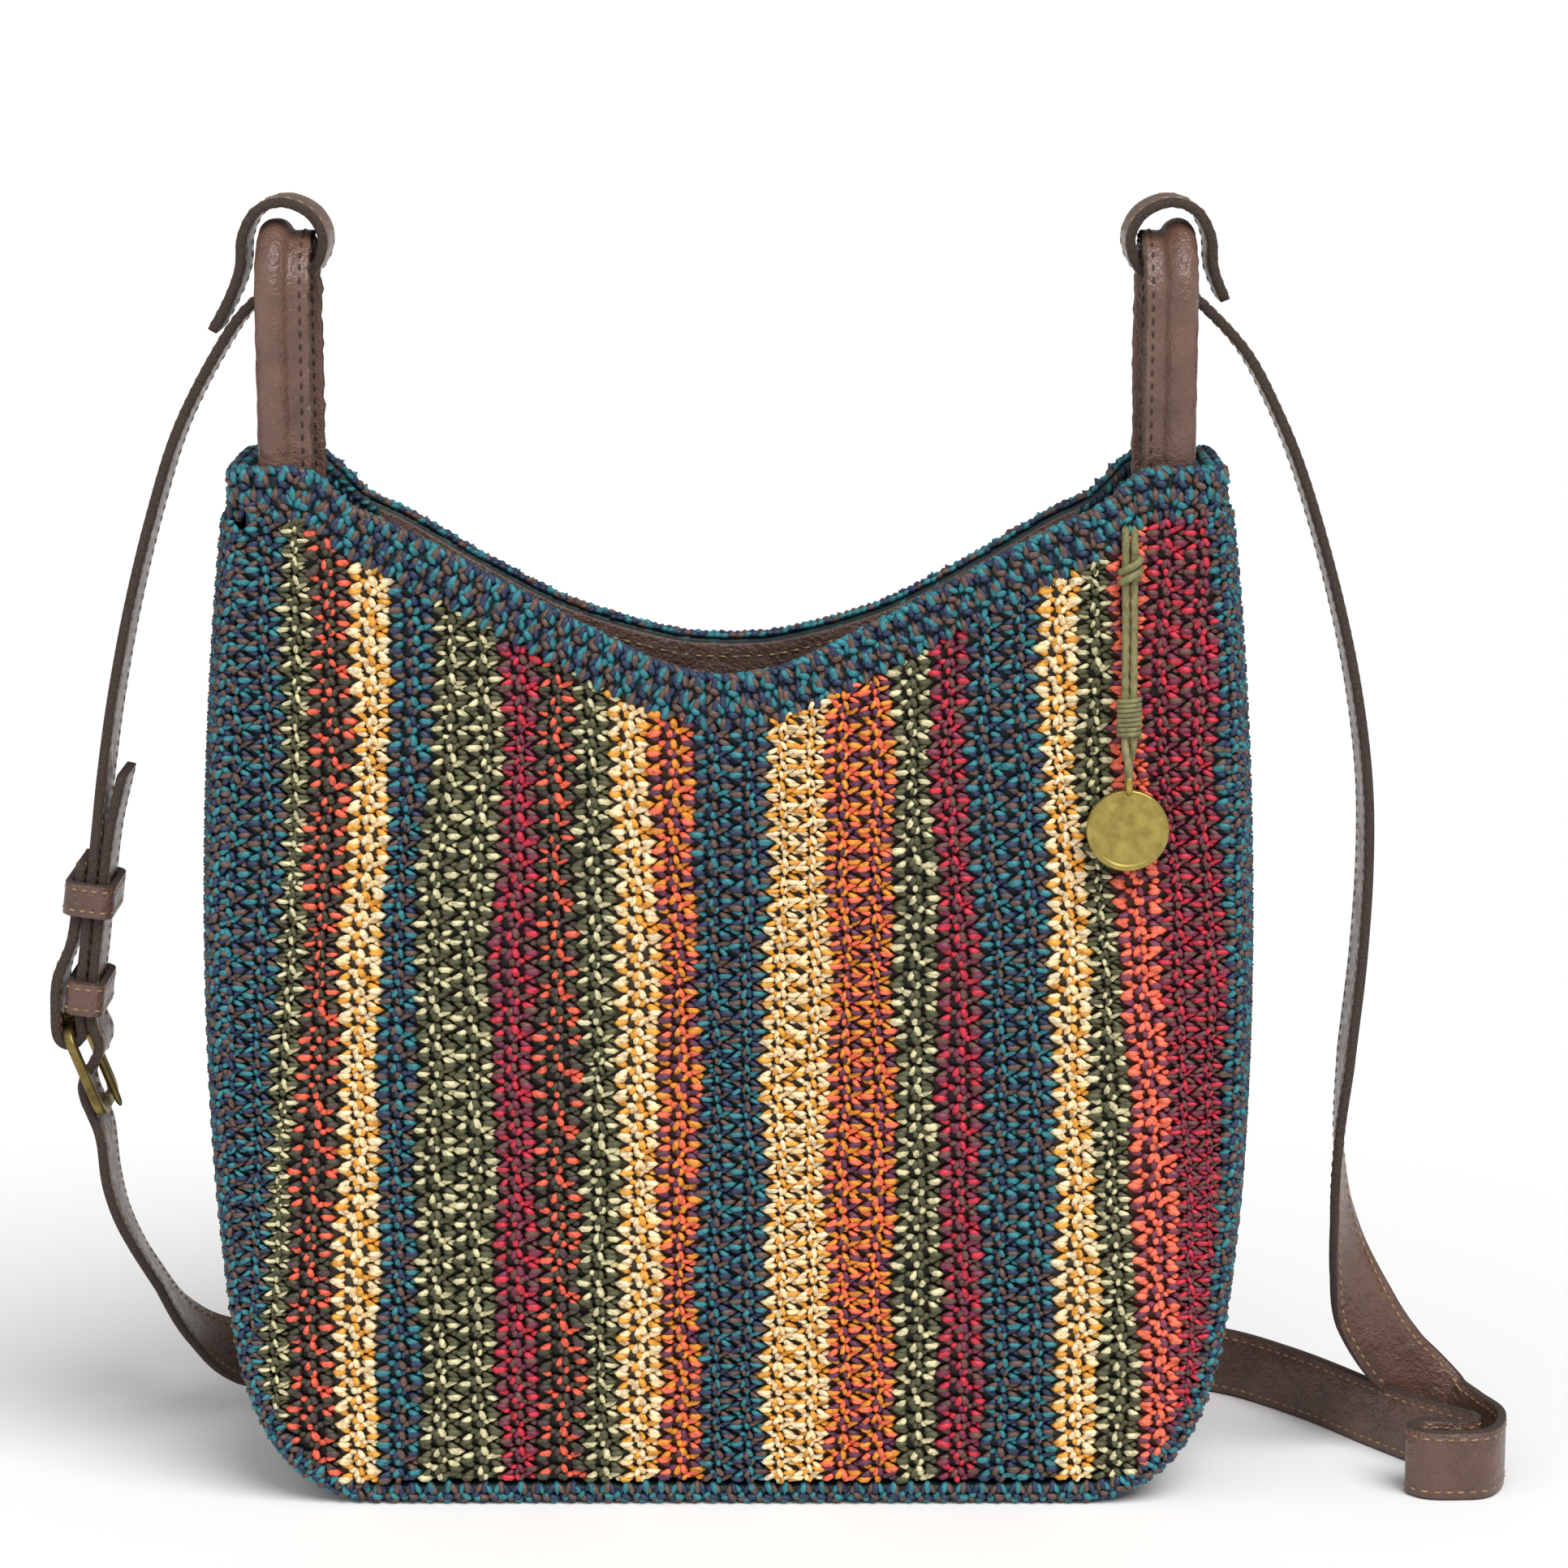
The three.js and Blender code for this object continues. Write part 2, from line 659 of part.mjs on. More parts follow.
// A leather loop round some layers of the strap, square to the leaning strap.
function keeper(centreZ, lowLayer, highLayer, room) {
  const innerX = (highLayer - lowLayer) * layerPitch + strapThick + 2 * room;
  const innerY = strapWidth + 2 * room;
  const outline = (x, y, corner) => {
    const shape = new THREE.Shape();
    shape.absarc(x - corner, y - corner, corner, 0, Math.PI / 2);
    shape.absarc(corner - x, y - corner, corner, Math.PI / 2, Math.PI);
    shape.absarc(corner - x, corner - y, corner, Math.PI, Math.PI * 1.5);
    shape.absarc(x - corner, corner - y, corner, Math.PI * 1.5, Math.PI * 2);
    shape.closePath();
    return shape;
  };
  const shape = outline(innerX / 2 + keeperWall, innerY / 2 + keeperWall, keeperWall + 0.6);
  shape.holes.push(outline(innerX / 2, innerY / 2, 0.6));
  const options = { depth: keeperHeight, bevelEnabled: false, curveSegments: 4 };
  const geometry = new THREE.ExtrudeGeometry(shape, options);
  geometry.translate(0, 0, -keeperHeight / 2);
  geometry.rotateY(Math.atan(strapLean));
  const middle = (layerX(centreZ, lowLayer) + layerX(centreZ, highLayer)) / 2;
  return geometry.translate(middle, 0, centreZ);
}

// Rectangular buckle frame of round bar with rounded corners.
function buckleFrame() {
  const halfY = strapWidth / 2 + 0.6 + barRadius;
  const corner = 3;
  const points = [];
  const corners = [
    [corner, halfY - corner, 180],
    [frameLength - corner, halfY - corner, 90],
    [frameLength - corner, corner - halfY, 0],
    [corner, corner - halfY, -90],
  ];
  for (const [s, y, start] of corners) {
    for (let i = 0; i <= 3; i++) {
      const angle = THREE.MathUtils.degToRad(start - 30 * i);
      const p = atBuckle(s + corner * Math.cos(angle), 0);
      points.push(p.setY(y + corner * Math.sin(angle)));
    }
  }
  return roundAlong(points, barRadius, 8, inward, true);
}

// The prong: an eye of wire curled round the heel bar and a straight tongue that rests on the far bar.
function buckleProng() {
  const curl = barRadius + seatGap + prongRadius;
  const points = [];
  const steps = 14;
  for (let i = 0; i <= steps; i++) {
    const angle = THREE.MathUtils.degToRad(-215 + (305 * i) / steps);
    points.push(atBuckle(curl * Math.cos(angle + Math.PI), curl * Math.sin(angle)));
  }
  for (const s of [6, 12, 18, frameLength + 2.4]) points.push(atBuckle(s, curl));
  return roundAlong(points, prongRadius, 8, v3(0, 1, 0));
}

// The doubled fob cord: down one strand, under the top of the eye and up the other strand.
const eyeZ = discCentreZ + discRadius + eyeRadius - 0.8;
const eyeTopZ = eyeZ + eyeRadius;
const bight = eyeWire + cordRadius + 0.5;
const fobTopY = -(halfDepth(fobX, 250) + cordRadius + 0.6);
const cordRoute = [
  [fobX - 1.3, fobTopY, discCentreZ + 73.5],
  [fobX - 1.3, fobTopY - 0.8, discCentreZ + 65.5],
  [fobX - 1.25, discY + 3.6, discCentreZ + 49.5],
  [fobX - 1.2, discY + 2.2, discCentreZ + 34.5],
  [fobX - 1.2, discY + 1, discCentreZ + 24.5],
  [fobX - 1, discY - 0.6, discCentreZ + 20.5],
  [fobX - 0.3, discY - bight, eyeTopZ + 2.4],
  [fobX, discY - bight, eyeTopZ],
  [fobX, discY - bight * 0.72, eyeTopZ - bight * 0.72],
  [fobX, discY, eyeTopZ - bight],
  [fobX, discY + bight * 0.72, eyeTopZ - bight * 0.72],
  [fobX, discY + bight, eyeTopZ],
  [fobX + 0.3, discY + bight, eyeTopZ + 2.4],
  [fobX + 1, discY + 0.6, discCentreZ + 20.5],
  [fobX + 1.2, discY + 1, discCentreZ + 24.5],
  [fobX + 1.2, discY + 2.2, discCentreZ + 34.5],
  [fobX + 1.25, discY + 3.6, discCentreZ + 49.5],
  [fobX + 1.3, fobTopY - 0.8, discCentreZ + 65.5],
  [fobX + 1.3, fobTopY, discCentreZ + 73.5],
];

function fobCord() {
  const curve = new THREE.CatmullRomCurve3(cordRoute.map(([x, y, z]) => v3(x, y, z)), false, "centripetal");
  const points = curve.getPoints(54);
  return roundAlong(points, cordRadius, 8, v3(1, 0.05, 0));
}

// Thread wound round both strands: an oval sleeve.
function fobWhipping() {
  const reach = 1.2 + cordRadius + 2 * seatGap;
  const wall = 0.9;
  const oval = (grow, z) =>
    Array.from({ length: 16 }, (_, i) => {
      const angle = (i / 16) * 2 * Math.PI;
      const y = discY + 0.9 + (z - discCentreZ - 24.5) * 0.11;
      return v3(fobX + (reach + grow) * Math.cos(angle), y + (cordRadius + 0.7 + grow) * Math.sin(angle), z);
    });
  const levels = [22.9, 30, 33.5].map((rise) => discCentreZ + rise);
  const outer = levels.map((z) => oval(wall, z));
  const rings = [...outer, ...levels.map((z) => oval(0, z)).reverse()];
  return skin(rings, true);
}

// The disc with a raised edge on both faces and its eye on top.
function fobDisc() {
  const face = discThick / 2;
  const edge = discRim / 2;
  const profile = [
    [0, -face],
    [discRadius - 1.6, -face],
    [discRadius - 1.2, -edge],
    [discRadius, -edge],
    [discRadius, edge],
    [discRadius - 1.2, edge],
    [discRadius - 1.6, face],
    [0, face],
  ].map(([r, h]) => new THREE.Vector2(r, h));
  const disc = new THREE.LatheGeometry(profile, 36);
  disc.translate(0, 0, 0);
  const eye = new THREE.TorusGeometry(eyeRadius, eyeWire, 8, 20);
  eye.translate(0, eyeZ - discCentreZ, 0);
  disc.rotateX(Math.PI / 2);
  const joined = geometryOf(solidOf(disc).add(solidOf(eye)));
  joined.rotateX(Math.PI / 2);
  return joined.translate(fobX, discY, discCentreZ);
}

const looks = {
  crochetTeal: [0x35626f, 0.85, 0],
  crochetMixed: [0x8a6a4a, 0.85, 0],
  cloth: [0x4a382e, 0.9, 0],
  leather: [0x5f473d, 0.5, 0],
  cord: [0x8d8560, 0.8, 0],
  brass: [0x98924a, 0.4, 0.9],
};

const bag = new THREE.Group();
bag.name = "crochet_crossbody_bag";
function add(name, geometry, look, x = 0) {
  const [color, roughness, metalness] = looks[look];
  const mesh = new THREE.Mesh(geometry, new THREE.MeshStandardMaterial({ color, roughness, metalness }));
  mesh.name = name;
  mesh.position.x = x;
  bag.add(mesh);
}

add("front_panel", panel(-1), "crochetMixed");
add("back_panel", panel(1), "crochetMixed");
add("gusset", gusset(), "crochetTeal");
add("front_seam_braid", seamBraid(-1), "crochetTeal");
add("back_seam_braid", seamBraid(1), "crochetTeal");
add("rim_edging", rimEdging(), "crochetTeal");
add("lining", lining(), "cloth");
add("facing_front", facing(-1), "leather");
add("facing_back", facing(1), "leather");
for (const [name, side] of [
  ["left", -1],
  ["right", 1],
]) {
  add(`handle_cover_${name}`, handleCover(side), "leather", side * handleX);
  add(`handle_core_${name}`, handleCore(), "cord", side * handleX);
}
add("buckle_strap", buckleStrap(), "leather");
add("hole_strap", holeStrap(), "leather");
add("fixed_keeper", keeper(fixedKeeperZ, 0, 1, keeperSlack), "leather");
add("sliding_keeper", keeper(slidingKeeperZ, -1, 1, keeperSlack), "leather");
add("buckle_frame", buckleFrame(), "brass");
add("buckle_prong", buckleProng(), "brass");
add("fob_cord", fobCord(), "cord");
add("fob_whipping", fobWhipping(), "cord");
add("fob_disc", fobDisc(), "brass");

export default bag;
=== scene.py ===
import math
import bpy
import numpy as np
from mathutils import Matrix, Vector


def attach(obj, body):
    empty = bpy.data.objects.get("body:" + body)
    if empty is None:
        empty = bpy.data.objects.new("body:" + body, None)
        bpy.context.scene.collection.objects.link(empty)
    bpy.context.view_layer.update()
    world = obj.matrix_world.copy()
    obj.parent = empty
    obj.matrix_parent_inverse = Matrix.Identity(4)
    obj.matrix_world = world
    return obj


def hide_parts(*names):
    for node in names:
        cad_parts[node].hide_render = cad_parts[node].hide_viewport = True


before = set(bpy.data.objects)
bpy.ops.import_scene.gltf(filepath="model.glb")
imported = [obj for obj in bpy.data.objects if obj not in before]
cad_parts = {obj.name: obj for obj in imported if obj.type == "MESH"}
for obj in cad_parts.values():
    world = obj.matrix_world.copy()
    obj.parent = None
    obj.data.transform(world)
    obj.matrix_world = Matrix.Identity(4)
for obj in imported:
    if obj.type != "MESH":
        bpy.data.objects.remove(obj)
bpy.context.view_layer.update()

rng = np.random.default_rng(7)
scene = bpy.context.scene

# camera, fitted to the photograph
shot = {"at": (0.0142, -1.064, 0.4124), "aim": (0.0142, -0.029, 0.1914), "lens": 97.42}
camData = bpy.data.cameras.new("shotCamera")
camData.lens = shot["lens"]
camData.sensor_width = 36
camera = bpy.data.objects.new("shotCamera", camData)
camera.location = shot["at"]
camera.rotation_euler = (Vector(shot["aim"]) - Vector(shot["at"])).to_track_quat("-Z", "Y").to_euler()
scene.collection.objects.link(camera)
scene.camera = camera
scene.view_settings.view_transform = "Standard"
print("camera set")


# colours and materials
def linear(code, gain=1.0):
    values = []
    for i in (0, 2, 4):
        c = int(code[i:i + 2], 16) / 255
        c = c / 12.92 if c <= 0.04045 else ((c + 0.055) / 1.055) ** 2.4
        values.append(min(c * gain, 1.0))
    return values[0], values[1], values[2], 1.0


def tones(code, *marks):
    return [(place, linear(code, gain)) for place, gain in marks]


def greys(*marks):
    return [(place, (value, value, value, 1)) for place, value in marks]


def newMaterial(name):
    mat = bpy.data.materials.new(name)
    mat.use_nodes = True
    return mat, mat.node_tree, mat.node_tree.nodes["Principled BSDF"]


def objectCoords(tree):
    return tree.nodes.new("ShaderNodeTexCoord").outputs["Object"]


def setSockets(tree, shader, values):
    for name, value in values.items():
        if isinstance(value, bpy.types.NodeSocket):
            tree.links.new(value, shader.inputs[name])
        else:
            shader.inputs[name].default_value = value


def noiseNode(tree, coords, scale, detail=3.0, rough=0.55):
    node = tree.nodes.new("ShaderNodeTexNoise")
    setSockets(tree, node, {"Scale": scale, "Detail": detail, "Roughness": rough, "Vector": coords})
    return node.outputs["Fac"]


def rampNode(tree, source, stops):
    ramp = tree.nodes.new("ShaderNodeValToRGB")
    marks = ramp.color_ramp.elements
    while len(marks) < len(stops):
        marks.new(0.5)
    for mark, (place, colour) in zip(marks, stops):
        mark.position = place
        mark.color = colour
    tree.links.new(source, ramp.inputs["Fac"])
    return ramp.outputs["Color"]


def bumpNode(tree, source, strength, distance, before=None):
    bump = tree.nodes.new("ShaderNodeBump")
    setSockets(tree, bump, {"Strength": strength, "Distance": distance, "Height": source})
    if before:
        tree.links.new(before, bump.inputs["Normal"])
    return bump.outputs["Normal"]


def yarnMaterial(name, code, gain=1.0):
    mat, tree, shader = newMaterial(name)
    patches = noiseNode(tree, objectCoords(tree), 520, 3)
    tone = rampNode(tree, patches, tones(code, (0.28, 0.55 * gain), (0.5, 0.92 * gain), (0.72, 1.15 * gain)))
    # fibres run along each ply with a slight twist
    along = tree.nodes.new("ShaderNodeAttribute")
    along.attribute_name = "ply"
    fibre = noiseNode(tree, along.outputs["Vector"], 0.8, 2)
    mix = tree.nodes.new("ShaderNodeMix")
    mix.data_type = "RGBA"
    mix.blend_type = "MULTIPLY"
    streak = rampNode(tree, fibre, greys((0.32, 0.62), (0.5, 1.08), (0.66, 1.16)))
    setSockets(tree, mix, {"Factor": 1.0, "A": tone, "B": streak})
    bump = bumpNode(tree, fibre, 0.5, 0.0006)
    setSockets(tree, shader, {"Base Color": mix.outputs["Result"], "Normal": bump, "Roughness": 0.5,
            "Specular IOR Level": 0.5})
    return mat


def leatherMaterial(name, code, rough, grain=0.9):
    mat, tree, shader = newMaterial(name)
    coords = objectCoords(tree)
    tone = rampNode(tree, noiseNode(tree, coords, 75, 5, 0.62), tones(code, (0.25, 0.6), (0.5, 1.0), (0.8, 1.4)))
    pores = tree.nodes.new("ShaderNodeTexVoronoi")
    setSockets(tree, pores, {"Scale": 1150, "Vector": coords})
    crease = noiseNode(tree, coords, 330, 4, 0.6)
    poreBump = bumpNode(tree, pores.outputs["Distance"], grain * 0.6, 0.0004)
    bump = bumpNode(tree, crease, grain, 0.0012, poreBump)
    shine = rampNode(tree, crease, greys((0.3, rough - 0.08), (0.7, rough + 0.14)))
    setSockets(tree, shader, {"Base Color": tone, "Normal": bump, "Roughness": shine, "Specular IOR Level": 0.6})
    return mat


def rawEdgeMaterial(name, code):
    mat, tree, shader = newMaterial(name)
    speck = noiseNode(tree, objectCoords(tree), 1500, 4, 0.7)
    tone = rampNode(tree, speck, tones(code, (0.3, 0.45), (0.52, 0.95), (0.72, 2.1)))
    setSockets(tree, shader, {"Base Color": tone, "Normal": bumpNode(tree, speck, 0.8, 0.0004), "Roughness": 0.86})
    return mat


def brassMaterial(name, code, wear=0.5):
    mat, tree, shader = newMaterial(name)
    patina = noiseNode(tree, objectCoords(tree), 260, 5, 0.65)
    tone = rampNode(tree, patina, tones(code, (0.3, 1 - wear), (0.55, 1.0), (0.75, 1 + 0.7 * wear)))
    shine = rampNode(tree, patina, greys((0.35, 0.55), (0.7, 0.3)))
    bump = bumpNode(tree, patina, 0.5 * wear, 0.0004)
    setSockets(tree, shader, {"Base Color": tone, "Normal": bump, "Roughness": shine, "Metallic": 0.92})
    return mat


# mesh helpers, all points in millimetres
def addMesh(name, verts, faces, mats, faceMat=None, body="bag"):
    mesh = bpy.data.meshes.new(name)
    verts = np.asarray(verts, dtype=np.float64) * 0.001
    if isinstance(faces, np.ndarray):
        count, corners = faces.shape
        mesh.vertices.add(len(verts))
        mesh.vertices.foreach_set("co", verts.ravel())
        mesh.loops.add(count * corners)
        mesh.loops.foreach_set("vertex_index", faces.ravel().astype(np.int32))
        mesh.polygons.add(count)
        mesh.polygons.foreach_set("loop_start", np.arange(0, count * corners, corners, dtype=np.int32))
    else:
        mesh.from_pydata(verts.tolist(), [], faces)
    for mat in mats:
        mesh.materials.append(mat)
    if faceMat is not None:
        mesh.polygons.foreach_set("material_index", np.asarray(faceMat, dtype=np.int32))
    mesh.polygons.foreach_set("use_smooth", np.ones(len(mesh.polygons), dtype=bool))
    mesh.update(calc_edges=True)
    mesh.validate()
    obj = bpy.data.objects.new(name, mesh)
    scene.collection.objects.link(obj)
    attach(obj, body)
    return obj


def unit(v):
    return v / np.maximum(np.linalg.norm(v, axis=-1, keepdims=True), 1e-9)


def smooth(v, low, high):
    t = np.clip((v - low) / (high - low), 0, 1)
    return t * t * (3 - 2 * t)


def gridFaces(rows, cols, loopCols=False, loopRows=False):
    r = np.arange(rows if loopRows else rows - 1)
    c = np.arange(cols if loopCols else cols - 1)
    rr, cc = np.meshgrid(r, c, indexing="ij")
    r2, c2 = (rr + 1) % rows, (cc + 1) % cols
    return np.stack([rr * cols + cc, rr * cols + c2, r2 * cols + c2, r2 * cols + cc], -1).reshape(-1, 4)


def sweep(name, centre, wide, thick, section, mats, sideMat=None, loop=False, body="bag", bumps=None):
    section = np.asarray(section, dtype=float)
    rows, cols = len(centre), len(section)
    shape = np.repeat(section[None], rows, axis=0)
    if bumps is not None:
        shape = bumps(shape)
    verts = centre[:, None] + shape[..., :1] * wide[:, None] + shape[..., 1:] * thick[:, None]
    quads = gridFaces(rows, cols, True, loop)
    faces = quads.tolist()
    pick = list(np.tile(np.zeros(cols, int) if sideMat is None else np.asarray(sideMat), len(quads) // cols))
    if not loop:
        faces.append(list(range(cols))[::-1])
        faces.append([(rows - 1) * cols + i for i in range(cols)])
        pick += [max(pick)] * 2
    return addMesh(name, verts.reshape(-1, 3), faces, mats, pick, body)


spindle = {"rings": (-0.36, 0.36), "swell": 0.97, "dive": 0.5, "tipDive": 0.8, "twist": 2.2}


def lobes(name, centre, along, out, size, ply, mats, sides, body):
    # a field of closed spindles: each ply of yarn or stitch of thread is one
    centre, along, out = np.asarray(centre), unit(np.asarray(along)), np.asarray(out)
    across = unit(np.cross(along, out))
    out = np.cross(across, along)
    halfLength, halfWidth, halfHeight = [np.asarray(s)[:, None, None] for s in size]
    angle = np.arange(sides) * 2 * math.pi / sides
    c, s = [spindle["swell"] * wave(angle)[None, :, None] for wave in (np.cos, np.sin)]
    tipDrop = out[:, None] * halfHeight * spindle["tipDive"]
    points = [centre[:, None] - along[:, None] * halfLength - tipDrop]
    around = [[(-1, 0, 0)]]
    for t in spindle["rings"]:
        drop = -spindle["dive"] * t * t * halfHeight
        ring = centre[:, None] + along[:, None] * halfLength * t + out[:, None] * drop
        points.append(ring + across[:, None] * halfWidth * c + out[:, None] * halfHeight * s)
        circle = spindle["twist"] * np.stack([np.cos(angle + t), np.sin(angle + t)], 1)
        around.append(np.column_stack([np.full(sides, t), circle]))
    points.append(centre[:, None] + along[:, None] * halfLength - tipDrop)
    around.append([(1, 0, 0)])
    verts = np.concatenate(points, axis=1)
    each = verts.shape[1]
    tris = []
    for i in range(sides):
        lowA, lowB = 1 + i, 1 + (i + 1) % sides
        highA, highB = lowA + sides, lowB + sides
        tris += [(0, lowB, lowA), (lowA, lowB, highB), (lowA, highB, highA), (highA, highB, each - 1)]
    faces = (np.asarray(tris)[None] + each * np.arange(len(centre))[:, None, None]).reshape(-1, 3)
    faceMat = np.repeat(np.asarray(ply, dtype=int), len(tris))
    obj = addMesh(name, verts.reshape(-1, 3), faces, mats, faceMat, body)
    # where each point lies along and round its ply, shifted so that no two plies match
    shift = np.random.default_rng(len(centre)).uniform(0, 90, (len(centre), 1, 3))
    fibreData = obj.data.attributes.new("ply", "FLOAT_VECTOR", "POINT")
    fibreData.data.foreach_set("vector", (np.vstack(around)[None] + shift).astype(np.float32).ravel())
    return obj


def threadRow(name, pts, dirs, outs, size, mat, body):
    n = len(pts)
    return lobes(name, pts, dirs, outs, [np.broadcast_to(s, (n,)) for s in size], np.zeros(n), [mat], 5, body)


def curvePoints(points, steps):
    # centripetal curve through given points
    p = np.asarray(points, dtype=float)
    p = np.vstack([2 * p[0] - p[1], p, 2 * p[-1] - p[-2]])
    out = []
    for i in range(1, len(p) - 2):
        a, b, c, d = p[i - 1:i + 3]
        d0, d1, d2 = [max(np.linalg.norm(k) ** 0.5, 1e-4) for k in (b - a, c - b, d - c)]
        m1 = ((b - a) / d0 - (c - a) / (d0 + d1) + (c - b) / d1) * d1
        m2 = ((c - b) / d1 - (d - b) / (d1 + d2) + (d - c) / d2) * d1
        t = (np.arange(steps) / steps)[:, None]
        out.append(b + m1 * t + (-3 * b + 3 * c - 2 * m1 - m2) * t ** 2 + (2 * b - 2 * c + m1 + m2) * t ** 3)
    out.append(p[-2][None])
    return np.vstack(out)


def resample(points, step, *others):
    run = np.concatenate([[0], np.cumsum(lengths(points))])
    want = np.arange(step / 2, run[-1], step)
    pick = lambda a: np.stack([np.interp(want, run, a[:, i]) for i in range(a.shape[1])], 1)
    return [pick(a) for a in (points, *others)]


def tangents(points, loop=False):
    if loop:
        return unit(np.roll(points, -1, 0) - np.roll(points, 1, 0))
    return unit(np.gradient(points, axis=0))


def outward(run):
    return np.stack([run[:, 1], -run[:, 0]], 1)


def lengths(line):
    return np.linalg.norm(np.diff(line, axis=0), axis=1)


ringShape = np.array([(math.cos(a), math.sin(a)) for a in np.linspace(0, 2 * math.pi, 14, endpoint=False)])


def roundCord(name, line, aside, radius, mat, body, bumps=None):
    run = tangents(line)
    wide = unit(np.cross(run, np.array(aside)))
    return sweep(name, line, wide, np.cross(run, wide), ringShape * radius, [mat], body=body, bumps=bumps)


# straps: the same stations as the part, each with the direction of its width
leather = {"face": leatherMaterial("strapLeather", "61453a", 0.3), "edge": rawEdgeMaterial("strapRawEdge", "40332d")}
thread = yarnMaterial("tanThread", "a18662")
darkThread = yarnMaterial("brownThread", "3f2d25")
deep, upright = (0, 1, 0), (0, 0, 1)
strap = {"width": 18.5, "thick": 2.4, "pitch": 3.0, "lean": 4 / 30, "handleX": 112.4, "heel": (-169.9, 121.4),
        "tilt": math.radians(21)}
endLoop = [(-15.6, 302.2), (-11.4, 309.8), (-8.4, 317.6), (-7.6, 325.5), (-4, 331.8), (2.4, 334), (9.4, 331),
        (12.4, 325), (10.4, 318.2), (4.6, 314.2), (-1.6, 311.8), (-7.4, 307.2)]
heelX, heelZ = strap["heel"]
down = np.array([math.sin(strap["tilt"]), 0, -math.cos(strap["tilt"])])
inward = np.array([math.cos(strap["tilt"]), 0, math.sin(strap["tilt"])])
heel = np.array([heelX, 0, heelZ])


def layerX(z, layer):
    return heelX + 2.9 + strap["lean"] * (z - 131) + layer * strap["pitch"] * math.hypot(1, strap["lean"])


def loopAt(side):
    return [(side * (strap["handleX"] - x), 0, z, deep) for x, z in endLoop]


def atBuckle(s, q):
    return heel + down * s + inward * q


def flat(points, width):
    return [(*p, width) for p in points]


foldRadius = 3.2
foldTurn = [atBuckle(foldRadius * math.sin(math.radians(a)), foldRadius * math.cos(math.radians(a)))
        for a in (0, 45, 90, 135, 180)]
buckleStations = loopAt(-1) + flat([(-125.2, 0, 300), (-137.2, 0, 278), (-145, 0, 255), (-151.4, 0, 231),
        (-156.4, 0, 207), (-159.6, 0, 187)], deep)
buckleStations += flat([(layerX(z, 0), 0, z) for z in (174, 156, 140, 130)], deep)
buckleStations += flat(foldTurn, deep)
buckleStations += flat([(-173.3, 0, 128), (-172.5, 0, 136), (layerX(145, -1) - 0.6, 0, 145)], deep)
buckleStations += flat([(layerX(z, -1), 0, z) for z in (155, 166)], deep)
holeStations = flat([(-154.2, 0, 189), (layerX(174, 1) + 0.3, 0, 174)]
        + [(layerX(z, 1), 0, z) for z in (156, 140, 131)], deep)
holeStations += flat([atBuckle(*sq)
        for sq in ((0, 6.2), (5, 6.1), (8, 4.5), (11, 0.8), (14, -2.2), (18, -3.2), (22, -3.2), (28, -3.4))], deep)
holeStations += [(-162.1, 3, 80, (0, 1, -.1)), (-159.8, 9, 66, (-.05, 1, -.2)), (-154.6, 18.5, 49, (-.1, 1, -.2)),
        (-147.4, 32, 29.5, (-.1, .9, .1)), (-138.5, 46, 16.5, (-.1, .6, .6)), (-126, 58, 10.6, (0, .15, 1))]
holeStations += [(x, y, 9.5, upright)
        for x, y in ((-104, 65), (-60, 67), (0, 66), (60, 66), (108, 63), (134.9, 56.5), (155.3, 37.4), (172, 15),
        (184, 0), (191.6, -7), (195.6, -11.2), (192, -15.2), (187, -14.6), (180.6, -14.6), (177.4, -18.6),
        (181, -22.8), (188.6, -23.6), (196.4, -22.4), (200.6, -17), (202.6, -6), (198.6, 5.4))]
holeStations += [(191, 12.4, 12.4, (.15, 0, 1)), (184, 13.4, 19.4, (.4, .05, .9)),
        (176.4, 11.6, 27.6, (.62, .15, .75)), (168.1, 8, 41.3, (.7, .35, .5)), (163.1, 4.6, 55.9, (.5, .75, .25)),
        (160.3, 2.4, 70.5, (.3, .95, .05)), (159, 1, 90, (.12, 1, 0))]
holeStations += flat([(160.2, 0, 112), (162.6, 0, 139.3), (163.6, 0, 165.1), (162.8, 0, 187), (159, 0, 213),
        (152.8, 0, 239), (144, 0, 267), (137.6, 0, 282), (129.6, 0, 296.6)], deep) + loopAt(1)[:0:-1]


def strapFrames(stations, steps):
    centre = curvePoints([s[:3] for s in stations], steps)
    widths = np.array([s[3] for s in stations], dtype=float)
    at = np.linspace(0, len(stations) - 1, len(centre))
    wide = np.stack([np.interp(at, np.arange(len(stations)), widths[:, i]) for i in range(3)], 1)
    run = tangents(centre)
    wide = unit(wide - run * np.sum(wide * run, axis=1, keepdims=True))
    return centre, run, wide, np.cross(run, wide)


def strapSection(width, thick):
    # flat faces and two slightly rounded raw edges
    w, t, r = width / 2, thick / 2, 0.35
    points = [(w - r, t), (w * 0.4, t), (-w * 0.4, t), (-w + r, t), (-w, t - r), (-w - 0.05, 0), (-w, -t + r),
            (-w + r, -t), (-w * 0.4, -t), (w * 0.4, -t), (w - r, -t), (w, -t + r), (w + 0.05, 0), (w, t - r)]
    return points, [0, 0, 0, 1, 1, 1, 1, 0, 0, 0, 1, 1, 1, 1]


def cutWith(obj, tools):
    for tool in tools:
        mod = obj.modifiers.new("cut", "BOOLEAN")
        mod.object = tool
        mod.solver = "EXACT"
    bpy.context.view_layer.update()
    ready = obj.evaluated_get(bpy.context.evaluated_depsgraph_get())
    mesh = bpy.data.meshes.new_from_object(ready)
    obj.modifiers.clear()
    obj.data = mesh
    for tool in tools:
        bpy.data.objects.remove(tool)


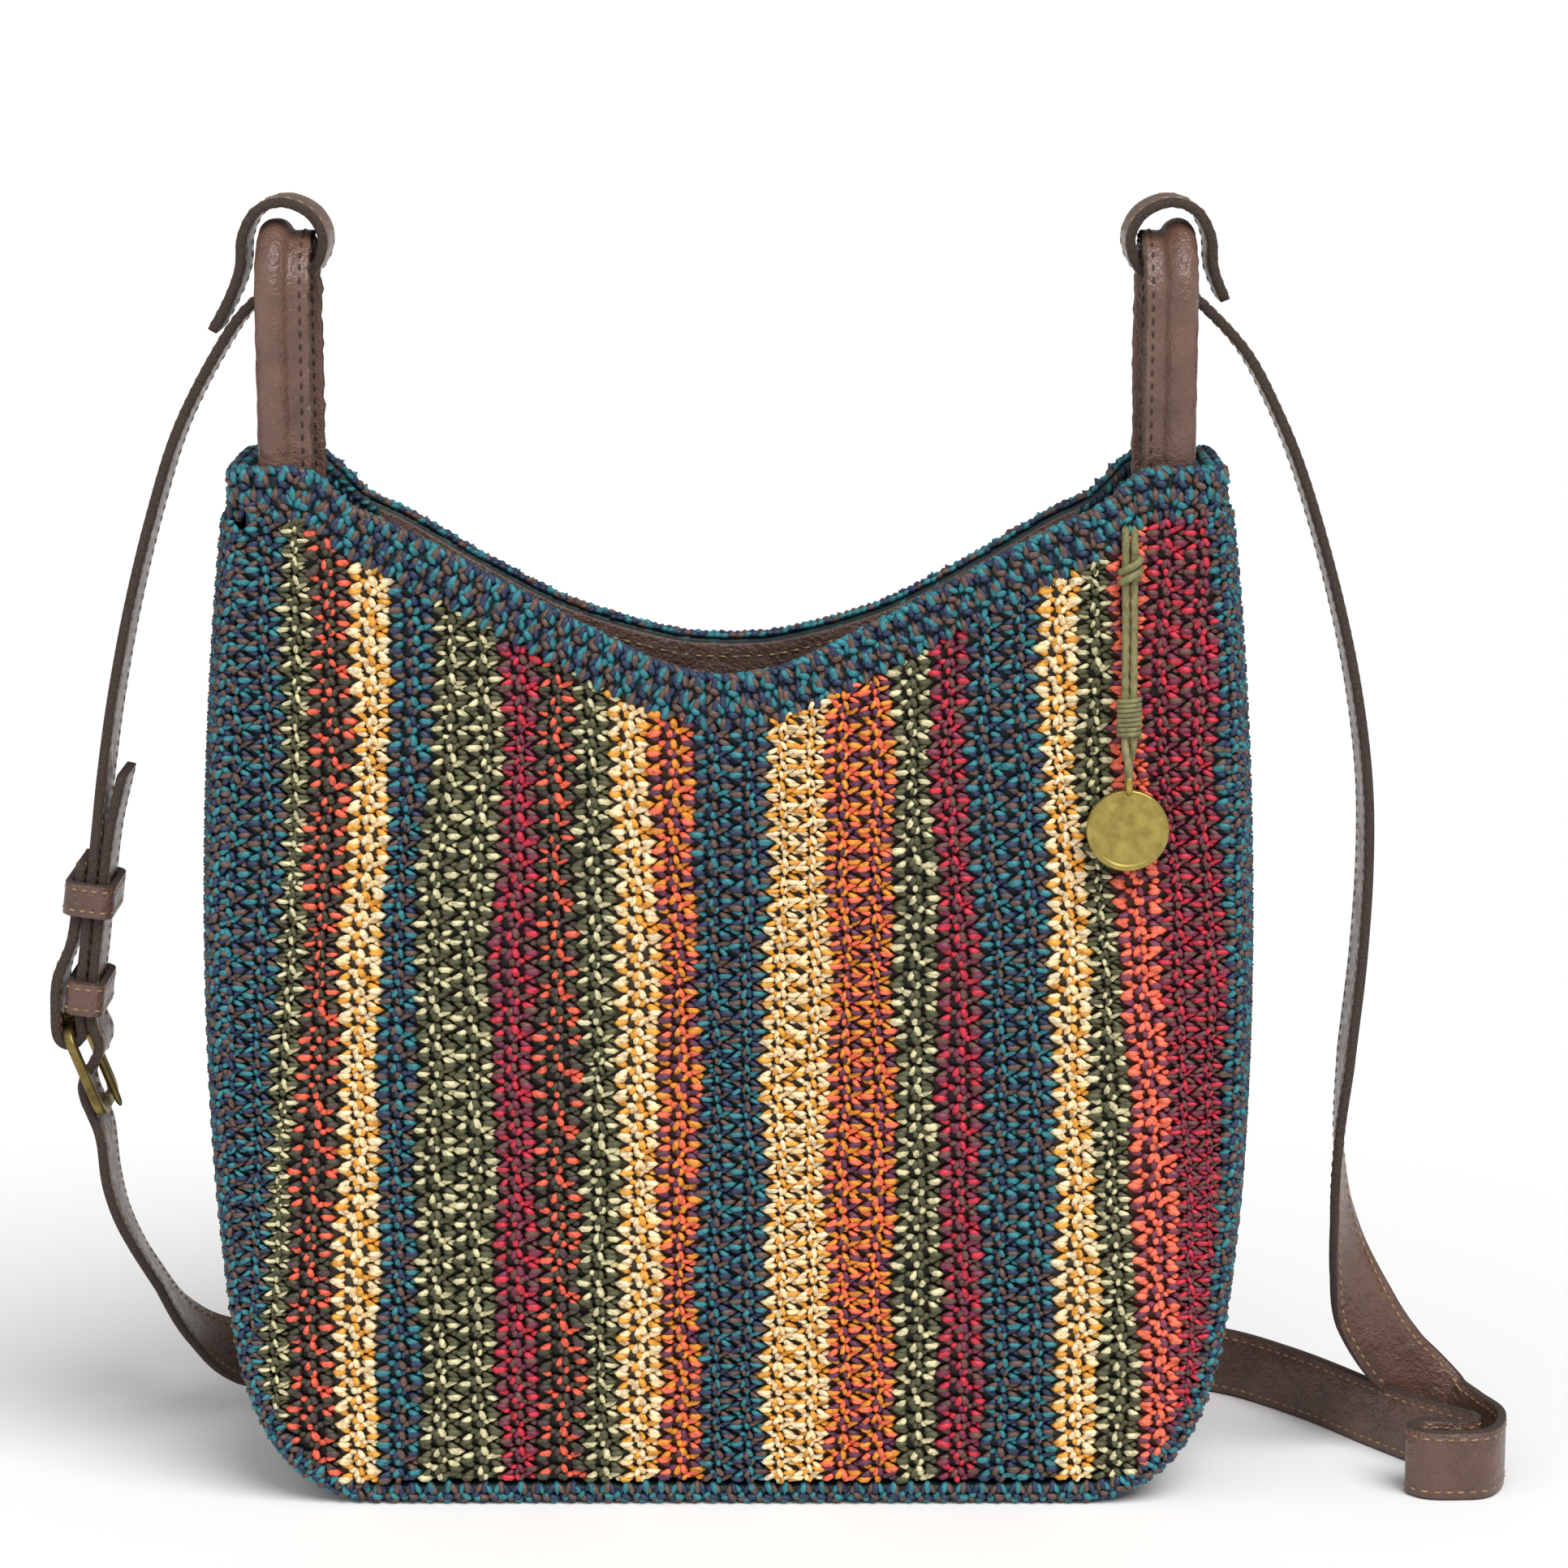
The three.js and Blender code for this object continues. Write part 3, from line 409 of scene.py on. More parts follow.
def toolMesh(name, verts, faces, mats):
    mesh = bpy.data.meshes.new(name)
    mesh.from_pydata((np.asarray(verts) * 0.001).tolist(), [], faces)
    for mat in mats:
        mesh.materials.append(mat)
    mesh.polygons.foreach_set("material_index", np.ones(len(mesh.polygons), dtype=np.int32))
    obj = bpy.data.objects.new(name, mesh)
    scene.collection.objects.link(obj)
    return obj


def slotTool(centre, run, wide, face, length, width, reach):
    angle = np.linspace(0, 2 * math.pi, 20, endpoint=False)
    half = (length - width) / 2
    a = np.cos(angle) * width / 2 + np.where(np.cos(angle) > 0, half, -half)
    b = np.sin(angle) * width / 2
    ring = centre + a[:, None] * run + b[:, None] * wide
    verts = np.vstack([ring + face * reach, ring - face * reach])
    n = len(angle)
    faces = [[i, (i + 1) % n, n + (i + 1) % n, n + i] for i in range(n)]
    faces += [list(range(n))[::-1], list(range(n, 2 * n))]
    return toolMesh("slotTool", verts, faces, [leather["face"], leather["edge"]])


def strapStitches(name, centre, run, wide, face):
    # two rows on each face, a little sunk
    look = {"pitch": 3.0, "row": 7.15, "sink": 0.05, "sway": 0.05, "width": 0.36, "height": 0.34}
    pts, dirs, outs = [], [], []
    c, r, w, f = resample(centre, look["pitch"], run, wide, face)
    for side in (-1, 1):
        for row in (-1, 1):
            pts.append(c + w * row * look["row"] + f * side * (strap["thick"] / 2 - look["sink"]))
            dirs.append(r + w * rng.normal(0, look["sway"], (len(c), 1)))
            outs.append(f * side)
    pts, dirs, outs = np.vstack(pts), np.vstack(dirs), np.vstack(outs)
    size = (rng.uniform(1.3, 1.5, len(pts)), look["width"], look["height"])
    threadRow(name, pts, dirs, outs, size, thread, "bag")


def creased(amount, seed):
    # shallow waves along a leather piece, so that its edges aren't ruled lines
    def apply(shape):
        gen = np.random.default_rng(seed)
        rows = np.arange(len(shape))[:, None]
        cols = np.arange(shape.shape[1])[None]
        waves = [np.sin(rows * gen.uniform(0.2, 1.6) + gen.uniform(0, 6) + cols * gen.uniform(0, 1.2))
                for _ in range(5)]
        return shape + unit(shape) * (sum(waves) / len(waves) * amount)[..., None]
    return apply


section, sectionMat = strapSection(strap["width"], strap["thick"])
mats = [leather["face"], leather["edge"]]
bc, br, bw, bf = strapFrames(buckleStations, 6)
buckleStrap = sweep("buckleStrapLeather", bc, bw, bf, section, mats, sectionMat,
        bumps=creased(0.06, 3))
boxCentre = atBuckle(0.6, -0.4)
boxHalf = (foldRadius + 3.5, 1.8, (foldRadius + 8) / 2)
corners = [boxCentre + inward * boxHalf[0] * i + np.array([0, -1, 0]) * boxHalf[1] * j + down * boxHalf[2] * k
        for i in (-1, 1) for j in (-1, 1) for k in (-1, 1)]
boxFaces = [[0, 1, 3, 2], [4, 6, 7, 5], [0, 4, 5, 1], [2, 3, 7, 6], [0, 2, 6, 4], [1, 5, 7, 3]]
cutWith(buckleStrap, [toolMesh("foldSlot", corners, boxFaces, mats)])
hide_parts("buckle_strap")

holes = {"length": 7.4, "width": 3.2, "pitch": 26, "count": 5, "reach": 4, "pinLift": 2.7}
hc, hr, hw, hf = strapFrames(holeStations, 6)
holeStrap = sweep("holeStrapLeather", hc, hw, hf, section, mats, sectionMat,
        bumps=creased(0.06, 5))
runAlong = np.concatenate([[0], np.cumsum(lengths(hc))])
pinned = next(i for i, p in enumerate(hc) if p[2] < heelZ - 4 and (p - heel) @ inward - holes["pinLift"] < 0)
tools = []
for h in range(holes["count"]):
    i = int(np.searchsorted(runAlong, runAlong[pinned] + (h - 1) * holes["pitch"]))
    tools.append(slotTool(hc[i], hr[i], hw[i], hf[i], holes["length"], holes["width"], holes["reach"]))
cutWith(holeStrap, tools)
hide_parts("hole_strap")
strapStitches("holeStrapStitches", hc, hr, hw, hf)
strapStitches("buckleStrapStitches", bc, br, bw, bf)
print("straps made")

# brass buckle: flat bar frame, prong curled round the heel bar
brass = brassMaterial("agedBrass", "8d7a48")
buckle = {"bar": 1.4, "length": 22, "corner": 3.2}


def roundedSection(w, t, r, each=3):
    points = []
    for cx, cy, start in ((w - r, t - r, 0), (r - w, t - r, 90), (r - w, r - t, 180), (w - r, r - t, 270)):
        for i in range(each + 1):
            a = math.radians(start + 90 * i / each)
            points.append((cx + r * math.cos(a), cy + r * math.sin(a)))
    return points


def roundedLoop(halfA, halfB, corner, each=8, straight=6):
    # closed outline in its own plane
    points = []
    spots = ((halfA - corner, halfB - corner, 0), (corner - halfA, halfB - corner, 90),
            (corner - halfA, corner - halfB, 180), (halfA - corner, corner - halfB, 270))
    for k, (ca, cb, start) in enumerate(spots):
        arc = [(ca + corner * math.cos(math.radians(start + 90 * i / each)),
                cb + corner * math.sin(math.radians(start + 90 * i / each))) for i in range(each + 1)]
        na, nb, nstart = spots[(k + 1) % 4]
        after = (na + corner * math.cos(math.radians(nstart)), nb + corner * math.sin(math.radians(nstart)))
        points += arc
        points += [tuple(np.array(arc[-1]) + (np.array(after) - arc[-1]) * i / straight) for i in range(1, straight)]
    return np.array(points)


halfY = strap["width"] / 2 + 0.6 + buckle["bar"]
outline = roundedLoop(buckle["length"] / 2, halfY, buckle["corner"])
frameLine = np.array([atBuckle(buckle["length"] / 2 + s, 0) + np.array([0, y, 0]) for s, y in outline])
frameRun = tangents(frameLine, True)
frameOut = np.tile(inward, (len(frameLine), 1))
frameSide = unit(np.cross(frameRun, frameOut))
buckleFrame = sweep("buckleFrameBrass", frameLine, frameSide, frameOut, roundedSection(1.4, 1.25, 0.7), [brass],
        loop=True, body="buckle")
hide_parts("buckle_frame")
pin = {"curl": 2.7, "start": -215, "sweep": 305, "steps": 28,
        "along": (2, 4, 6, 9, 12, 15, 18, 20.5, 22.5, 23.6, 24.4)}
curlAngles = [math.radians(pin["start"] + pin["sweep"] * i / pin["steps"]) for i in range(pin["steps"] + 1)]
prongLine = [atBuckle(-pin["curl"] * math.cos(a), pin["curl"] * math.sin(a)) for a in curlAngles]
prongLine = np.array(prongLine + [atBuckle(s, pin["curl"]) for s in pin["along"]])
prongRun = tangents(prongLine)
prongWide = np.tile([0.0, 1.0, 0.0], (len(prongLine), 1))
prongTaper = np.ones(len(prongLine))
prongTaper[-4:] = (0.94, 0.86, 0.7, 0.35)
prong = sweep("buckleProngBrass", prongLine, prongWide, np.cross(prongRun, prongWide), ringShape, [brass],
        body="prong", bumps=lambda shape: shape * prongTaper[:, None, None])
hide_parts("buckle_prong")


# leather keepers: rounded loops, square to the leaning strap
def keeper(name, node, centreZ, low, high, room, body):
    look = {"height": 9.0, "wall": 1.8, "corner": 2.6, "stitch": 2.5, "row": 2.7, "sink": 0.02}
    halfX = ((high - low) * strap["pitch"] + strap["thick"]) / 2 + room + look["wall"] / 2
    halfW = strap["width"] / 2 + room + look["wall"] / 2
    loop = roundedLoop(halfX, halfW, look["corner"], 6, 8)
    tilt = math.atan(strap["lean"])
    axis = np.array([math.sin(tilt), 0, math.cos(tilt)])
    flatX = np.array([math.cos(tilt), 0, -math.sin(tilt)])
    middle = np.array([(layerX(centreZ, low) + layerX(centreZ, high)) / 2, 0, centreZ])
    line = middle + loop[:, :1] * flatX + loop[:, 1:] * np.array([0, 1, 0])
    run = tangents(line, True)
    out = unit(np.cross(run, axis))
    shape = roundedSection(look["height"] / 2, look["wall"] / 2, 0.45, 2)
    mat = [1 if abs(x) > look["height"] / 2 - 0.5 and abs(y) < look["wall"] / 2 - 0.1 else 0 for x, y in shape]
    band = sweep(name, line, np.tile(axis, (len(line), 1)), out, shape, [leather["face"], leather["edge"]], mat, True,
            body, creased(0.05, 9))
    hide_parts(node)
    closed = np.vstack([line, line[:1]])
    c, r, o = resample(closed, look["stitch"], np.vstack([run, run[:1]]), np.vstack([out, out[:1]]))
    pts = np.vstack([c + axis * row * look["row"] + o * (look["wall"] / 2 - look["sink"]) for row in (-1, 1)])
    threadRow(name + "Stitches", pts, np.vstack([r, r]), np.vstack([o, o]), (1.15, 0.34, 0.32), thread, body)


keeper("slidingKeeperLeather", "sliding_keeper", 157, -1, 1, 0.5, "keeper")
keeper("fixedKeeperLeather", "fixed_keeper", 131, 0, 1, 0.5, "bag")
print("buckle and keepers made")

# fob: doubled cord, whipping and a bare brass disc
fob = {"x": 99.8, "cord": 1.0, "discY": -33.0, "discZ": 180.5, "disc": 10.3, "eye": 2.6, "wire": 0.9}
cordMat = yarnMaterial("braidedCord", "7f7a50")
eyeZ = fob["discZ"] + fob["disc"] + fob["eye"] - 0.8
eyeTop = eyeZ + fob["eye"]
bight = fob["wire"] + fob["cord"] + 0.5
topY = -25.8
halfRoute = [(-1.1, topY + 2.6, 255.2), (-1.1, topY + 0.3, 253.2), (-1.05, topY - 0.8, 246), (-1.0, -29.4, 230),
        (-1.0, -30.8, 215), (-1.0, -32, 205), (-1, fob["discY"] - 0.6, 201),
        (-0.3, fob["discY"] - bight, eyeTop + 2.4), (0, fob["discY"] - bight, eyeTop),
        (0, fob["discY"] - bight * 0.72, eyeTop - bight * 0.72)]
otherHalf = [(1, fob["discY"] + 0.6, 201), (0.3, fob["discY"] + bight, eyeTop + 2.4),
        (0, fob["discY"] + bight, eyeTop), (0, fob["discY"] + bight * 0.72, eyeTop - bight * 0.72)]
otherHalf = [(-x, y, z) for x, y, z in halfRoute[:6]] + otherHalf
route = halfRoute + [(0, fob["discY"], eyeTop - bight)] + otherHalf[::-1]
route = [(fob["x"] + x, y, z) for x, y, z in route]
cordLine, = resample(curvePoints(route, 8), 0.3)
cordLine = np.vstack([[route[0]], cordLine, [route[-1]]])
braidTurn = np.arange(len(cordLine))[:, None] * 0.55


def braided(shape):
    angle = np.arctan2(shape[..., 1], shape[..., 0])
    swell = 0.95 + 0.07 * np.cos(3 * angle + braidTurn) + 0.07 * np.cos(3 * angle - braidTurn)
    return shape * swell[..., None]


fobCord = roundCord("fobCordBraid", cordLine, (1, 0.05, 0), fob["cord"], cordMat, "fob", braided)
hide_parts("fob_cord")
whip = {"turns": 8, "low": 204.0, "high": 213.4, "y": -32.1, "lean": 0.11, "halfX": 2.62, "halfY": 1.66,
        "thread": 0.6}
wrapAngle = np.linspace(0, 2 * math.pi * whip["turns"], 26 * whip["turns"])
wrapZ = np.linspace(whip["low"], whip["high"], len(wrapAngle))
wrapY = whip["y"] - (205 - wrapZ) * whip["lean"]
wrapLine = np.stack([fob["x"] + whip["halfX"] * np.cos(wrapAngle),
        wrapY + whip["halfY"] * np.sin(wrapAngle), wrapZ], 1)
whipping = roundCord("fobWhippingThread", wrapLine, upright, whip["thread"], cordMat, "fob")
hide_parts("fob_whipping")

knot = {"low": 242.2, "high": 247.4, "y": -28.5, "lean": 0.1, "halfX": 2.35, "halfY": 1.9, "rise": 0.9, "cord": 0.95}
knotAngle = np.linspace(0.6, 0.6 + 4.2 * math.pi, 70)
knotZ = np.linspace(knot["low"], knot["high"], len(knotAngle))
knotY = knot["y"] + (knotZ - 244.8) * knot["lean"] + knot["halfY"] * np.sin(knotAngle)
knotLine = np.stack([fob["x"] + knot["halfX"] * np.cos(knotAngle), knotY,
        knotZ + knot["rise"] * np.cos(knotAngle)], 1)
roundCord("fobKnotCord", knotLine, upright, knot["cord"], cordMat, "fob")

discProfile = [(0, -0.8), (4, -0.82), (8.5, -0.8), (8.75, -0.85), (9.1, -1.15), (9.4, -1.2), (9.9, -1.2),
        (10.2, -1.05), (10.3, -0.75), (10.3, 0.75), (10.2, 1.05), (9.9, 1.2), (9.4, 1.2), (9.1, 1.15), (8.75, 0.85),
        (8.5, 0.8), (4, 0.82), (0, 0.8)]
discSteps, eyeSteps = 72, 40
spin = np.linspace(0, 2 * math.pi, discSteps, endpoint=False)
discRings = []
for r, h in discProfile[1:-1]:
    flatY = np.full(discSteps, fob["discY"] + h)
    discRings.append(np.stack([fob["x"] + r * np.cos(spin), flatY, fob["discZ"] + r * np.sin(spin)], 1))
poles = [[fob["x"], fob["discY"] + h, fob["discZ"]] for _, h in (discProfile[0], discProfile[-1])]
discFaces = gridFaces(len(discRings), discSteps, True).tolist()
lastRing, firstPole = (len(discRings) - 1) * discSteps, len(discRings) * discSteps
for i in range(discSteps):
    j = (i + 1) % discSteps
    discFaces += [[firstPole, j, i], [firstPole + 1, lastRing + i, lastRing + j]]
discBrass = brassMaterial("fobBrass", "b09d56", 0.34)
disc = addMesh("fobDiscBrass", np.vstack(discRings + [poles]), discFaces, [discBrass], body="disc")
eyeSpin = np.linspace(0, 2 * math.pi, eyeSteps, endpoint=False)
eyeLine = np.stack([np.full(eyeSteps, fob["x"]), fob["discY"] + fob["eye"] * np.cos(eyeSpin),
        eyeZ + fob["eye"] * np.sin(eyeSpin)], 1)
eyeWide = np.tile([1.0, 0, 0], (eyeSteps, 1))
sweep("fobEyeBrass", eyeLine, eyeWide, np.cross(tangents(eyeLine, True), eyeWide), ringShape * fob["wire"],
        [discBrass], loop=True, body="disc")
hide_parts("fob_disc")
print("fob made")

# the shape of the bag
body = {"halfWidth": 131.0, "height": 269.4, "dip": 219.2, "rim": 12.0, "corner": 10.0, "topX": 123.8, "topZ": 257.1,
        "sideDepth": 27, "topLean": 3, "belly": 4, "lip": 8, "clear": 1.1}


def halfDepth(x, z):
    a = np.minimum(np.abs(x) / body["halfWidth"], 1)
    side = body["sideDepth"] - body["topLean"] * smooth(z, 130, body["height"])
    belly = body["belly"] * (1 - a * a) * (smooth(z, 0, 70) - smooth(z, 170, 250))
    return side + belly + body["lip"] * np.exp(-(x / 40) ** 2) * smooth(z, 120, 225)


def hermite(knots, t):
    k = np.asarray(knots, dtype=float)
    kx, ky = k[:, 0], k[:, 1]
    slope = np.empty(len(k))
    slope[1:-1] = (ky[2:] - ky[:-2]) / (kx[2:] - kx[:-2])
    slope[0] = (ky[1] - ky[0]) / (kx[1] - kx[0])
    slope[-1] = (ky[-1] - ky[-2]) / (kx[-1] - kx[-2])
    t = np.clip(t, kx[0], kx[-1])
    i = np.clip(np.searchsorted(kx, t) - 1, 0, len(k) - 2)
    span = kx[i + 1] - kx[i]
    u = (t - kx[i]) / span
    ends = (1 + 2 * u) * (1 - u) ** 2 * ky[i] + u * u * (3 - 2 * u) * ky[i + 1]
    return ends + u * (1 - u) ** 2 * span * slope[i] + u * u * (u - 1) * span * slope[i + 1]


rimKnots = {-1: [(0, 0), (12, 1.8), (22, 5.4), (38, 13), (60, 24.4), (80, 35), (94, 41.6), (103, 49.6), (120, 50.2)],
        1: [(0, -0.7), (14, 0.6), (40, 9), (63, 21.4), (83, 33.4), (94, 39), (104, 48.6), (120, 50.2)]}


def rimZ(x, side):
    x = np.abs(np.asarray(x, dtype=float))
    front, back = hermite(rimKnots[-1], x), hermite(rimKnots[1], x)
    return body["dip"] + np.where(np.asarray(side) < 0, front, back)


def bezier(a, b, c, d, count):
    t = np.linspace(0, 1, count)[:, None]
    a, b, c, d = [np.array(p, dtype=float) for p in (a, b, c, d)]
    return a * (1 - t) ** 3 + 3 * b * t * (1 - t) ** 2 + 3 * c * t * t * (1 - t) + d * t ** 3


seamHalf = np.vstack([np.stack([np.linspace(0, 88, 60), np.zeros(60)], 1),
        bezier((88, 0), (116, 0), (127, 22), (129, 64), 60)[1:],
        bezier((129, 64), (133, 118), (132, 190), (123.8, 257.1), 90)[1:]])
seamLine = np.vstack([seamHalf[:0:-1] * [-1, 1], seamHalf])
seamOut = outward(tangents(seamLine))


def insetHalf(z, inset):
    half = seamLine[len(seamHalf) - 1:] - inset * seamOut[len(seamHalf) - 1:]
    keep = half[:, 0] > 60
    return np.interp(z, half[keep, 1], half[keep, 0])


# crochet: every ply of yarn is its own small spindle, set in the stitch that the panels show
yarns = {"teal": ("2f7f89", "253453", "664e45"), "olive": ("4f5034", "57573a", "dfd6a8"),
        "brownCoral": ("3f402c", "4c3a37", "f0654a"), "cream": ("ffe7bd", "ffdca4", "eda63c"),
        "burgundy": ("7a2b44", "cc2c42", "6a4640"), "orange": ("e9952f", "fd7450", "64304b"),
        "coral": ("ff7656", "ff785a", "7c3850")}
yarnMats = {}
for name, codes in yarns.items():
    yarnMats[name] = [yarnMaterial(name + "Ply" + str(i), code) for i, code in enumerate(codes)]
# the ground sheets fill the fabric behind the plies; their colour is painted shade, each yarn's first ply at about a
# tenth of its brightness standing in for the deep shadow between plies
paintedShadeGroundMats = {name: yarnMaterial(name + "PaintedShadeGround", codes[0], 0.1) for name, codes in yarns.items()}
paintedShadeGroundMat = paintedShadeGroundMats["teal"]
# stripes from left to right: yarn, number of columns, and where each begins low, midway and high on the panel
stripes = {"z": (48.3, 151.3, 201.3),
        "list": [("teal", 2, -130.0, -130.6, -127.6), ("olive", 1, -119.7, -113.3, -110.6),
        ("brownCoral", 1, -114.5, -107.2, -104.4), ("cream", 1, -102.0, -97.7, -93.9),
        ("teal", 1, -90.4, -87.5, -83.8), ("olive", 2, -80.0, -79.3, -73.7), ("burgundy", 1, -59.8, -59.8, -56.2),
        ("brownCoral", 1, -49.4, -48.8, -46.9), ("olive", 1, -37.6, -38.0, -38.8), ("cream", 1, -28.6, -28.4, -30.0),
        ("orange", 1, -17.6, -17.6, -19.3), ("teal", 2, -7.8, -7.4, -9.2), ("cream", 2, 8.8, 8.9, 10.4),
        ("orange", 2, 24.8, 25.2, 24.5), ("olive", 1, 42.1, 41.5, 40.6), ("burgundy", 1, 53.9, 52.3, 50.7),
        ("teal", 2, 64.9, 63.3, 58.8), ("cream", 1, 83.7, 80.8, 77.5), ("olive", 1, 94.7, 90.4, 87.0),
        ("coral", 1, 105.1, 97.9, 95.1), ("burgundy", 2, 116.3, 109.4, 103.7), ("teal", 1, 126.0, 125.0, 121.9),
        ("teal", 1, 134.0, 134.0, 131.0)]}
# each ply of the stitch: across, up, half length, half width, turn from upright, lift, which of the yarn's plies
stitch = {"wide": 9.47, "high": 4.95,
        "plies": [(0.3, 1.05, 2.3, 0.9, 60, 0.9, 0), (-0.1, 0.0, 2.4, 0.95, 88, 1.25, 1),
        (0.3, -1.1, 2.2, 0.88, 118, 0.7, 2), (2.0, 2.45, 1.7, 0.85, 95, 0.35, 1), (2.9, 1.9, 1.9, 0.85, 28, 1.2, 2),
        (4.0, 2.4, 1.9, 0.85, -24, 1.3, 0), (3.3, 0.2, 1.6, 0.85, -12, 1.0, 1), (4.2, -0.2, 1.6, 0.8, 30, 0.75, 2),
        (5.0, 0.5, 1.7, 0.8, 80, 0.4, 0), (6.5, 3.5, 2.3, 0.88, 120, 0.8, 1), (6.9, 2.45, 2.4, 0.95, 92, 1.15, 2),
        (6.5, 1.35, 2.2, 0.88, 62, 0.7, 0), (7.3, 4.9, 1.5, 0.8, 90, 0.2, 1)]}
stitch["plain"] = [p for i, p in enumerate(stitch["plies"]) if i not in (3, 8, 12)]
stitch["edge"] = [stitch["plies"][i] for i in (0, 1, 2, 5, 9, 10, 11)]


def stripeEdge(i, z):
    wander = 0.75 * np.sin(z / 14.5 + i * 2.3) + 0.45 * np.sin(z / 6.1 + i * 4.1)
    return np.interp(z, stripes["z"], stripes["list"][i][2:]) + wander


def crochet(name, parts, yarn, sides):
    place, run, out, length, width, high, ply = [np.concatenate(p) for p in zip(*parts)]
    place[:, 2] = np.maximum(place[:, 2], body["clear"])
    return lobes(name, place, run, out, (length, width, high), ply, yarnMats[yarn], sides, "bag")


def panelDepth(x, z):
    return halfDepth(x, z) + 0.45 * np.sin(x / 17 + z / 31) + 0.3 * np.sin(x / 8.5 - z / 23)


def panelFrame(x, z, side, sink):
    step = 0.5
    hx = (panelDepth(x + step, z) - panelDepth(x - step, z)) / (2 * step)
    hz = (panelDepth(x, z + step) - panelDepth(x, z - step)) / (2 * step)
    place = np.stack([x, side * (panelDepth(x, z) - sink), z], 1)
    zero, one = np.zeros_like(x), np.ones_like(x)
    across = unit(np.stack([one, side * hx, zero], 1))
    up = unit(np.stack([zero, side * hz, one], 1))
    out = unit(np.stack([-hx, side * one, -hz], 1))
    return place, across, up, out


panel = {"rows": 54, "first": 2, "phase": 0.6, "jitter": 0.13, "sway": 7, "lead": 1.6, "sink": 1.3, "edge": 4.8,
        "low": 6.6, "least": 2.5, "corner": 112, "under": (5.0, 2.5, 0.8), "groundSink": 2.1, "groundLow": 6.4,
        "grid": (80, 240)}


def crochetPanel(label, side, sides, plies):
    rows = np.arange(panel["rows"])
    fields = {}
    units = [(i, name, j, count) for i, (name, count, *_) in enumerate(stripes["list"][:-1]) for j in range(count)]
    leftUnder, rightUnder, midUnder = panel["under"]
    for i, name, j, count in units:
        phase = rng.uniform(-panel["phase"], panel["phase"])
        mix = rng.integers(0, 3, len(rows))
        for u, v, length, width, turn, lift, ply in plies:
            z = panel["first"] + rows * stitch["high"] + v + phase + rng.normal(0, panel["jitter"], len(rows))
            left, right = stripeEdge(i, z), stripeEdge(i + 1, z)
            span = (right - left) / count
            x = left + span * (j + (u + panel["lead"]) / stitch["wide"]) + rng.normal(0, panel["jitter"], len(rows))
            room = rimZ(np.abs(x) - 2, side) - body["rim"]
            room += np.select([x < -panel["corner"], x > panel["corner"]], [leftUnder, rightUnder], midUnder)
            keep = (np.abs(x) < insetHalf(z, panel["edge"])) & (z > panel["low"])
            keep &= (z < room) & (span > panel["least"])
            x, z = x[keep], z[keep]
            n = len(x)
            place, across, up, out = panelFrame(x, z, side, panel["sink"] - lift)
            angle = np.radians(turn + rng.normal(0, panel["sway"], n))[:, None]
            run = across * np.sin(angle) + up * np.cos(angle)
            scale = rng.normal(1, 0.07, n)
            tone = (ply + mix[keep]) % 3
            width = width * scale * np.clip(span[keep] / stitch["wide"], 0.75, 1.1)
            fields.setdefault(name, []).append((place, run, out, length * scale, width, np.full(n, 1.0), tone))
    made = []
    for name, parts in fields.items():
        made.append(crochet(label + name[:1].upper() + name[1:], parts, name, sides))
    # the dense ground behind the raised plies, in the same stripes; its colour is painted shade, each yarn darkened
    # to about a tenth so that the gaps between plies read as deep shadow
    rowsUp, cols = panel["grid"]
    share = np.linspace(0, 1, rowsUp)[:, None]
    across = np.linspace(-1, 1, cols)[None, :]
    x = across * np.full((rowsUp, 1), 120.0)
    for _ in range(3):
        level = panel["groundLow"] + share * (rimZ(x, side) - body["rim"] + 2 - panel["groundLow"])
        x = across * insetHalf(level, panel["edge"])
    place = panelFrame(x.ravel(), level.ravel(), side, panel["groundSink"])[0]
    faces = gridFaces(rowsUp, cols)
    middle = place[faces].mean(axis=1)
    pick = np.zeros(len(faces), int)
    names = list(yarns)
    for i, (name, *_) in enumerate(stripes["list"][:-1]):
        inside = (middle[:, 0] >= stripeEdge(i, middle[:, 2])) & (middle[:, 0] < stripeEdge(i + 1, middle[:, 2]))
        pick[inside] = names.index(name)
    paintedShadeSheet = addMesh(label + "PaintedShadeGround", place, faces, [paintedShadeGroundMats[name] for name in names], pick, "bag")
    return paintedShadeSheet, made


frontPaintedShadeGround, frontMade = crochetPanel("frontCrochet", -1, 5, stitch["plies"])
backPaintedShadeGround, backMade = crochetPanel("backCrochet", 1, 4, stitch["plain"])
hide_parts("front_panel")
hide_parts("back_panel")
print("panels crocheted")


# gusset in the teal yarn, round the base and up both sides
band = {"columns": 6, "start": -27.0, "short": 5.9, "jitter": 0.13, "sway": 5, "bulge": 3, "sink": 1.1,
        "baseSink": 1.3, "height": 0.9, "groundStep": 4, "groundCols": 15, "groundShort": 3.6, "groundSink": 1.6,
        "tuck": 3.5, "tuckSink": 2.4}


def gussetBulge(z):
    return band["bulge"] * smooth(z, 8, 80)


